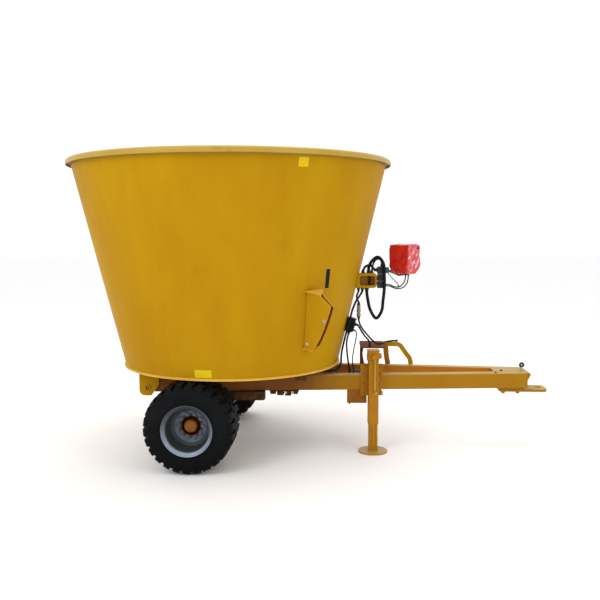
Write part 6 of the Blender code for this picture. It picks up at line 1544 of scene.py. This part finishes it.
for rail_name, side in (("front", -1), ("rear", 1)):
    lip_low = door_front + 0.005
    lip_high = lip_low + 0.006
    rail = add_new(
        "door_channel_" + rail_name, bpy.ops.mesh.primitive_circle_add, vertices=6, fill_type="NGON")
    for corner, (u, n) in zip(
            rail.data.vertices, ((RAIL_INNER, lip_low), (RAIL_HOLD, lip_low), (RAIL_HOLD, lip_high),
            (RAIL_OUTER, lip_high), (RAIL_OUTER, -0.004), (RAIL_INNER, -0.004))):
        corner.co = (side * u, DOOR_SILL, n)
    bpy.ops.object.mode_set(mode="EDIT")
    bpy.ops.mesh.select_all(action="SELECT")
    for k in range(8):
        bpy.ops.mesh.extrude_region_move(TRANSFORM_OT_translate={"value": (0.0, RAIL_LONG / 8, 0.0)})
    face_outwards()
    for corner in rail.data.vertices:
        if corner.co.z < 0:
            corner.co.z = wall_depth(corner.co.x, corner.co.y) + 0.0003
    round_edges(rail, 0.0015, 2, 40.0)
    fit(set_in(rail, door_frame), wagon_paint, "door_rail_" + rail_name)

rod_bar = turn_piece(
    "door_rod_bar", ((0.0, DOOR_TOP + 0.0003), (ROD_RADIUS - 0.001, DOOR_TOP + 0.0003),
    (ROD_RADIUS, DOOR_TOP + 0.0013), (ROD_RADIUS, BARREL[0] + 0.04), (0.0, BARREL[0] + 0.04)), 32,
    axis=(0.0, 1.0, 0.0), centre=(0.0, 0.0, ROD_N))
chrome = make_finish(
    "chrome", (0.72, 0.72, 0.71), (0.66, 0.66, 0.65), 20.0, (0.1, 0.18),
    grime=((0.3, 0.28, 0.24), 50.0, 0.66, 0.9), grain=(1500.0, 0.00003), metallic=1.0)
fit(set_in(rod_bar, door_frame), chrome, "door_rod", body="sliding_door", slot="bright_steel")
barrel = turn_piece(
    "door_barrel", ((ROD_RADIUS + 0.0003, BARREL[0]), (BARREL_RADIUS - 0.003, BARREL[0]),
    (BARREL_RADIUS, BARREL[0] + 0.003), (BARREL_RADIUS, BARREL[0] + 0.034),
    (BARREL_RADIUS - 0.003, BARREL[0] + 0.036), (BARREL_RADIUS - 0.003, BARREL[1] - 0.036),
    (BARREL_RADIUS, BARREL[1] - 0.034), (BARREL_RADIUS, BARREL[1] - 0.003),
    (BARREL_RADIUS - 0.003, BARREL[1]), (0.0, BARREL[1]), (0.0, BARREL[1] - 0.03),
    (ROD_RADIUS + 0.0003, BARREL[1] - 0.03)), 48, axis=(0.0, 1.0, 0.0), centre=(0.0, 0.0, ROD_N))
foot_block = block("barrel_foot", (-0.03, BARREL[1] - 0.024, 0.0), (0.03, BARREL[1] + 0.018, ROD_N))
for corner in foot_block.data.vertices:
    if corner.co.z < 0.01:
        corner.co.z = wall_depth(corner.co.x, corner.co.y) + 0.0003
round_edges(foot_block, 0.002)
ports = [
    turn_piece("barrel_port", ((0.0, 0.0), (0.01, 0.0), (0.01, 0.012), (0.007, 0.014), (0.0, 0.014)), 6,
    axis=(0.0, 0.0, 1.0), centre=(0.0, w, ROD_N + BARREL_RADIUS - 0.003))
    for w in (BARREL[0] + 0.02, BARREL[1] - 0.02)]
barrel = join_pieces("door_barrel", [barrel, foot_block] + ports)
fit(set_in(barrel, door_frame), black_steel, "door_cylinder", slot="dark_plastic")


# Hose bracket: a shallow box on the tub's front, with a window in its near side.
# It is folded from eight millimetre sheet; the hoses' bulkhead pipes run through it.

HOSE_Y, BRACKET_X_END, BRACKET_Z, BRACKET_SHEET, BRACKET_DEEP = -0.12, 0.5285, (1.236, 1.35), 0.008, 0.056
WINDOW_X, WINDOW_Z = (0.3965, 0.5125), (1.256, 1.328)
CORNER = 0.03


def bracket_side(y, root_y, inset):
    """The bracket's outline seen from the side, drawn in by inset and rooted on the wall at root_y."""
    roots = [
        (TUB_X + math.sqrt(tub_radius(z) ** 2 - root_y ** 2) + 0.0003 + inset, y, z)
        for z in (BRACKET_Z[0] + inset, BRACKET_Z[1] - inset)]
    side = [roots[0]]
    for turn, z in ((270, BRACKET_Z[0] + CORNER), (0, BRACKET_Z[1] - CORNER)):
        for k in range(9):
            angle = math.radians(turn + 90 * k / 8)
            side.append(
                (BRACKET_X_END - CORNER + (CORNER - inset) * math.cos(angle), y,
                z + (CORNER - inset) * math.sin(angle)))
    return side + [roots[1]]


near_y = HOSE_Y - BRACKET_SHEET / 2
back_y = near_y + BRACKET_SHEET
far_y = near_y + BRACKET_DEEP
bracket = saw_plate("hose_rail", bracket_side(near_y, back_y, 0.0), (0.0, BRACKET_SHEET, 0.0))
merge_in(
    bracket, saw_plate("bracket_box", bracket_side(back_y - 0.001, far_y, 0.0),
    (0.0, far_y - back_y + 0.001, 0.0)))
hollow = saw_plate(
    "bracket_hollow", bracket_side(back_y, far_y, BRACKET_SHEET * 0.5),
    (0.0, far_y - back_y - BRACKET_SHEET, 0.0))
window = block(
    "window_tool", (WINDOW_X[0], near_y - 0.05, WINDOW_Z[0]), (WINDOW_X[1], back_y + 0.004, WINDOW_Z[1]))
round_along(window, 1, 0.05, 0.016, 6)
cut_out(bracket, hollow, window)
round_edges(bracket, 0.0015, 2, 40.0)
# A darker orange-brown for the bracket's inside faces: painted shade inside the box.
box_inside_shade = make_finish(
    "box_inside_shade", (0.42, 0.2, 0.02), (0.24, 0.09, 0.012), 30.0, (0.6, 0.8),
    grime=((0.14, 0.07, 0.02), 60.0, 0.55, 0.75), grain=(600.0, 0.0003), specular=0.2)
paint_zones(
    bracket, (wagon_paint, box_inside_shade), lambda f: (back_y - 0.001 < f.center.y < far_y - 0.004
    and f.center.x < BRACKET_X_END - 0.003 and BRACKET_Z[0] + 0.003 < f.center.z < BRACKET_Z[1] - 0.003))
fit(bracket, None, "hose_bracket")
pipes = []
for x, radius, first_z in ((0.4715, 0.0085, BRACKET_Z[0]), (0.4225, 0.006, 1.324), (0.4955, 0.006, 1.324)):
    pipes.append(
        turn_piece("bulkhead_pipe", ((0.0, first_z + 0.006), (radius + 0.003, first_z + 0.006),
        (radius + 0.003, first_z + 0.007), (radius, first_z + 0.008), (radius, BRACKET_Z[1] - 0.015),
        (radius + 0.003, BRACKET_Z[1] - 0.014), (radius + 0.003, BRACKET_Z[1] - 0.006),
        (0.0, BRACKET_Z[1] - 0.006)), 20, centre=(x, far_y - 0.028, 0.0)))
fit(join_pieces("bulkhead_pipes", pipes), black_plastic, slot="hose_rubber")


# Cable clamp and arm: stacked halves of moulded plastic on the bracket's end, with a grey knuckle.
# A flat steel arm slants down from the knuckle to the plate under the weigh indicator.

CLAMP_X, CLAMP_Z, CLAMP_HALF = (0.529, 0.579), (1.236, 1.401), 0.017
ARM_RADIUS, ARM_Z, INDICATOR_X = 0.011, 1.3337, 0.7385
KNUCKLE = ((0.572, -0.14, 1.352), (0.618, -0.1, 1.396))

clamp_grey = make_finish(
    "clamp_grey", (0.017, 0.022, 0.026), (0.01, 0.013, 0.016), 18.0, (0.4, 0.55),
    grime=((0.045, 0.048, 0.046), 45.0, 0.58, 0.82), grain=(700.0, 0.0003))
knuckle_grey = make_finish(
    "knuckle_grey", (0.06, 0.085, 0.088), (0.04, 0.058, 0.062), 25.0, (0.4, 0.6),
    grime=((0.1, 0.1, 0.08), 60.0, 0.58, 0.82), grain=(500.0, 0.0003))
clamps = []
for low, high in ((CLAMP_Z[0], 1.288), (1.29, 1.342), (1.344, CLAMP_Z[1])):
    half = block(
        "clamp_half", (CLAMP_X[0], HOSE_Y - CLAMP_HALF, low), (CLAMP_X[1], HOSE_Y + CLAMP_HALF, high))
    round_edges(half, 0.005, 3)
    clamps.append(half)
fit(join_pieces("cable_clamp_blocks", clamps), clamp_grey, "cable_clamp", slot="dark_plastic")
set_bolts(
    "clamp_bolts", [((CLAMP_X[0] + 0.03, HOSE_Y - CLAMP_HALF, z), (0, -1, 0), 0.011)
    for z in (1.262, 1.316, 1.372)], clamp_grey, slot="dark_plastic")
knuckle = block("arm_knuckle", *KNUCKLE)
round_edges(knuckle, 0.005, 3)
merge_in(
    knuckle, round_bar("knuckle_pin", 0.009, -0.146, -0.094, 24, axis=(0.0, 1.0, 0.0),
    centre=(0.603, 0.0, 1.374)))
fit(knuckle, knuckle_grey, slot="dark_plastic")
arm = saw_plate(
    "indicator_arm", [(0.612, HOSE_Y - ARM_RADIUS, 1.382), (0.704, HOSE_Y - ARM_RADIUS, 1.3447),
    (INDICATOR_X + 0.03, HOSE_Y - ARM_RADIUS, 1.3447), (INDICATOR_X + 0.03, HOSE_Y - ARM_RADIUS, 1.339),
    (0.702, HOSE_Y - ARM_RADIUS, 1.33), (0.69, HOSE_Y - ARM_RADIUS, 1.33),
    (0.612, HOSE_Y - ARM_RADIUS, 1.362)], (0.0, 2 * ARM_RADIUS, 0.0))
round_edges(arm, 0.002)
arm_plate = block(
    "indicator_plate", (INDICATOR_X - 0.035, HOSE_Y - 0.03, ARM_Z + 0.006),
    (INDICATOR_X + 0.035, HOSE_Y + 0.03, ARM_Z + ARM_RADIUS))
round_edges(arm_plate, 0.0015)
fit(join_pieces("indicator_arm", [arm, arm_plate]), knuckle_grey, slot="dark_plastic")


# Weigh indicator: a plastic case on the arm, under a red rain cover of thin coated cloth.
# The cover hangs loose over the case, crumpled, and is drawn together under it.

CASE_Z, CASE_TAPER_Z, CASE_TURN = (1.35, 1.577), 1.405, 50.0
CASE_DEEP, CASE_WIDE, CASE_TAPER = 0.165, 0.18, 0.62

case_frame = Matrix.Translation((INDICATOR_X, HOSE_Y, 0.0)) @ Matrix.Rotation(math.radians(CASE_TURN), 4, "Z")
case = block("indicator_case", (-0.045, -0.05, CASE_Z[0] + 0.001), (0.045, 0.05, 1.54))
round_edges(case, 0.006, 3)
fit(set_in(case, case_frame), black_plastic, slot="dark_plastic")

cover = add_new("indicator_cover", bpy.ops.mesh.primitive_cube_add, size=1.0)
bpy.ops.object.mode_set(mode="EDIT")
choose(cover, "faces", lambda f: f.normal.z < -0.5)
bpy.ops.mesh.delete(type="FACE")
bpy.ops.mesh.select_all(action="SELECT")
bpy.ops.mesh.subdivide(number_cuts=30)
bpy.ops.object.mode_set(mode="OBJECT")
for corner in cover.data.vertices:
    a, b, c = corner.co.x * 2, corner.co.y * 2, corner.co.z + 0.5
    z = CASE_Z[0] + (CASE_Z[1] - CASE_Z[0]) * c
    taper = min(
        1.0, CASE_TAPER + (1 - CASE_TAPER) * max(0.0, (z - CASE_Z[0]) / (CASE_TAPER_Z - CASE_Z[0])) ** 0.7)
    spot = Vector((a * CASE_DEEP / 2 * taper * 0.97, b * CASE_WIDE / 2 * taper * 0.97, z - 0.004))
    reach = max(abs(a), abs(b))
    crease = 1.0 - abs(cloth_noise.noise(spot * 12.0 + Vector((3.1, 7.7, 1.3)))) * 2
    fold = 1.0 - abs(cloth_noise.noise(spot * 27.0 + Vector((9.2, 2.1, 5.5)))) * 2
    swell = crease * 0.006 + fold * 0.0032
    side = Vector((a if abs(a) > 0.9 * reach else 0.0, b if abs(b) > 0.9 * reach else 0.0, 0.0))
    gather = 0.004 * math.sin(14 * math.atan2(b, a)) * max(0.0, 1 - (z - CASE_Z[0]) / 0.07)
    fan = math.atan2(1.1 - c, 1.3 - a)
    if b < -0.9:
        swell += 0.0035 * math.sin(17.0 * fan + 2.5 * cloth_noise.noise(spot * 14.0))
    if reach > 0.9:
        spot += side.normalized() * (swell + gather - 0.006)
    if c > 0.95:
        spot.z += swell - 0.006 - 0.006 * reach ** 6
    corner.co = spot
machine(cover, "SMOOTH", factor=0.4, iterations=1)
machine(cover, "SUBSURF", levels=1, render_levels=1)
machine(cover, "SOLIDIFY", thickness=0.0012, offset=0.0)
# The red is the cloth's own colour. The near side's paler pink is painted light, and its pale crease lines
# and glints are painted highlights.
cover_red = make_finish(
    "cover_red", (0.6, 0.015, 0.014), (0.44, 0.009, 0.009), 14.0, (0.16, 0.3),
    grime=((0.7, 0.1, 0.11), 22.0, 0.6, 0.85), grain=(120.0, 0.001), wave=(40.0, 0.004), coat=(0.5, 0.1))
cover_lit_pink = make_finish(
    "cover_lit_pink", (0.64, 0.052, 0.066), (0.52, 0.024, 0.032), 18.0, (0.14, 0.28),
    grime=((0.8, 0.22, 0.25), 16.0, 0.52, 0.8), grain=(120.0, 0.001), wave=(40.0, 0.004), coat=(0.6, 0.08),
    crease_glints=(13.0, 0.01, (0.86, 0.52, 0.54)))
cover_glint = make_finish(
    "cover_glint", (0.86, 0.46, 0.49), (0.78, 0.3, 0.34), 30.0, (0.14, 0.28),
    grime=((0.9, 0.7, 0.72), 40.0, 0.5, 0.7), grain=(120.0, 0.001), coat=(0.6, 0.08))


def cover_zone(face):
    """The cover's near side is painted paler as painted light, and its creases there get painted glints."""
    if face.normal.y >= -0.45:
        return 0
    across = face.center.x * 2 / CASE_DEEP
    upward = (face.center.z - CASE_Z[0]) / (CASE_Z[1] - CASE_Z[0])
    crease = math.sin(
        26.0 * math.atan2(1.1 - upward, 1.3 - across)
        + 5.0 * cloth_noise.noise(face.center * 15.0)) + 1.3 * cloth_noise.noise(face.center * 33.0)
    return 2 if crease > 1.05 else 1


paint_zones(cover, (cover_red, cover_lit_pink, cover_glint), cover_zone)
fit(set_in(cover, case_frame), None, "indicator", slot="red_cover", smooth=80.0)
tie = turn_piece(
    "cover_tie", ((0.0, -0.012), (0.004, -0.012), (0.0055, -0.008), (0.0055, 0.004), (0.0035, 0.006),
    (0.0, 0.006)), 16, axis=(0.766, -0.643, 0.0), centre=(0.844, -0.135, 1.542))
fit(tie, black_plastic, slot="dark_plastic")


# Valve box and fitting: a black connector box on the tub's front and the steel coupling above it.
# The hoses and sensor leads come out of them.

VALVE_AZIMUTH, VALVE_Z, VALVE_HALF, VALVE_DEEP = -7.6, (0.909, 1.014), 0.0375, 0.066

valve_frame = wall_frame(VALVE_AZIMUTH)
valve_low, valve_high = up_slope(VALVE_Z[0]), up_slope(VALVE_Z[1])
valve = block("valve_case", (-VALVE_HALF, valve_low, -0.001), (VALVE_HALF, valve_high, VALVE_DEEP - 0.01))
lid = block(
    "valve_lid", (-VALVE_HALF + 0.002, valve_low + 0.002, VALVE_DEEP - 0.011),
    (VALVE_HALF - 0.002, valve_high - 0.002, VALVE_DEEP))
round_edges(valve, 0.004, 3)
round_edges(lid, 0.003)
valve = join_pieces("valve_case", [valve, lid])
fit(set_in(valve, valve_frame), black_plastic, "valve_box", slot="dark_plastic")
set_bolts(
    "valve_screws", [(valve_frame @ Vector((u, w, VALVE_DEEP)), valve_frame.to_3x3() @ Vector((0, 0, 1)),
    0.007) for u in (-0.028, 0.028) for w in (valve_low + 0.012, valve_high - 0.012)], zinc_steel)

coupling = turn_piece(
    "hose_coupling", ((0.0, 1.018), (0.013, 1.018), (0.016, 1.02), (0.016, 1.036), (0.012, 1.039),
    (0.012, 1.046), (0.016, 1.049), (0.016, 1.076), (0.0125, 1.079), (0.0125, 1.086), (0.015, 1.088),
    (0.015, 1.102), (0.012, 1.104), (0.0, 1.104)), 12, centre=(0.3885, HOSE_Y, 0.0))
fitting_beige = make_finish(
    "fitting_beige", (0.3, 0.27, 0.19), (0.22, 0.2, 0.14), 30.0, (0.35, 0.5),
    grime=((0.1, 0.09, 0.06), 60.0, 0.55, 0.75), grain=(700.0, 0.0003), metallic=0.4)
fit(coupling, fitting_beige, "hose_fitting", slot="bright_steel", smooth=25.0)


# Studio: a wide pale floor, a white surround and large soft lamps.
# The key lamp stands high on the left in front; weaker ones fill the right and the back.

studio_floor = add_new(
    "studio_floor", bpy.ops.mesh.primitive_grid_add, x_subdivisions=12, y_subdivisions=12, size=80.0,
    location=(0.0, 0.0, 0.0))
studio_floor.data.materials.append(
    make_finish("floor_white", (0.945, 0.945, 0.945), (0.935, 0.935, 0.935), 0.6, (0.7, 0.8),
    grain=(30.0, 0.0002), specular=0.2))

world = bpy.data.worlds.new("studio_surround")
bpy.context.scene.world = world
world.use_nodes = True
world.node_tree.nodes["Background"].inputs["Color"].default_value = (1.0, 1.0, 1.0, 1.0)
world.node_tree.nodes["Background"].inputs["Strength"].default_value = 1.04
for place, size, power in (
        ((-4.5, -6.0, 5.5), 4.0, 150.0), ((5.0, -5.0, 4.0), 3.0, 40.0), ((0.0, 0.5, 6.5), 5.0, 130.0),
        ((-1.0, 6.0, 4.5), 4.0, 60.0)):
    bpy.ops.object.select_all(action="DESELECT")
    bpy.ops.object.light_add(type="AREA", location=place)
    lamp = bpy.context.object
    lamp.data.shape = "DISK"
    lamp.data.size = size
    lamp.data.energy = power
    lamp.rotation_euler = (Vector((-0.2, 0.0, 1.0)) - Vector(place)).to_track_quat("-Z", "Y").to_euler()
bpy.context.scene.view_settings.view_transform = "Standard"
bpy.context.scene.view_settings.look = "None"
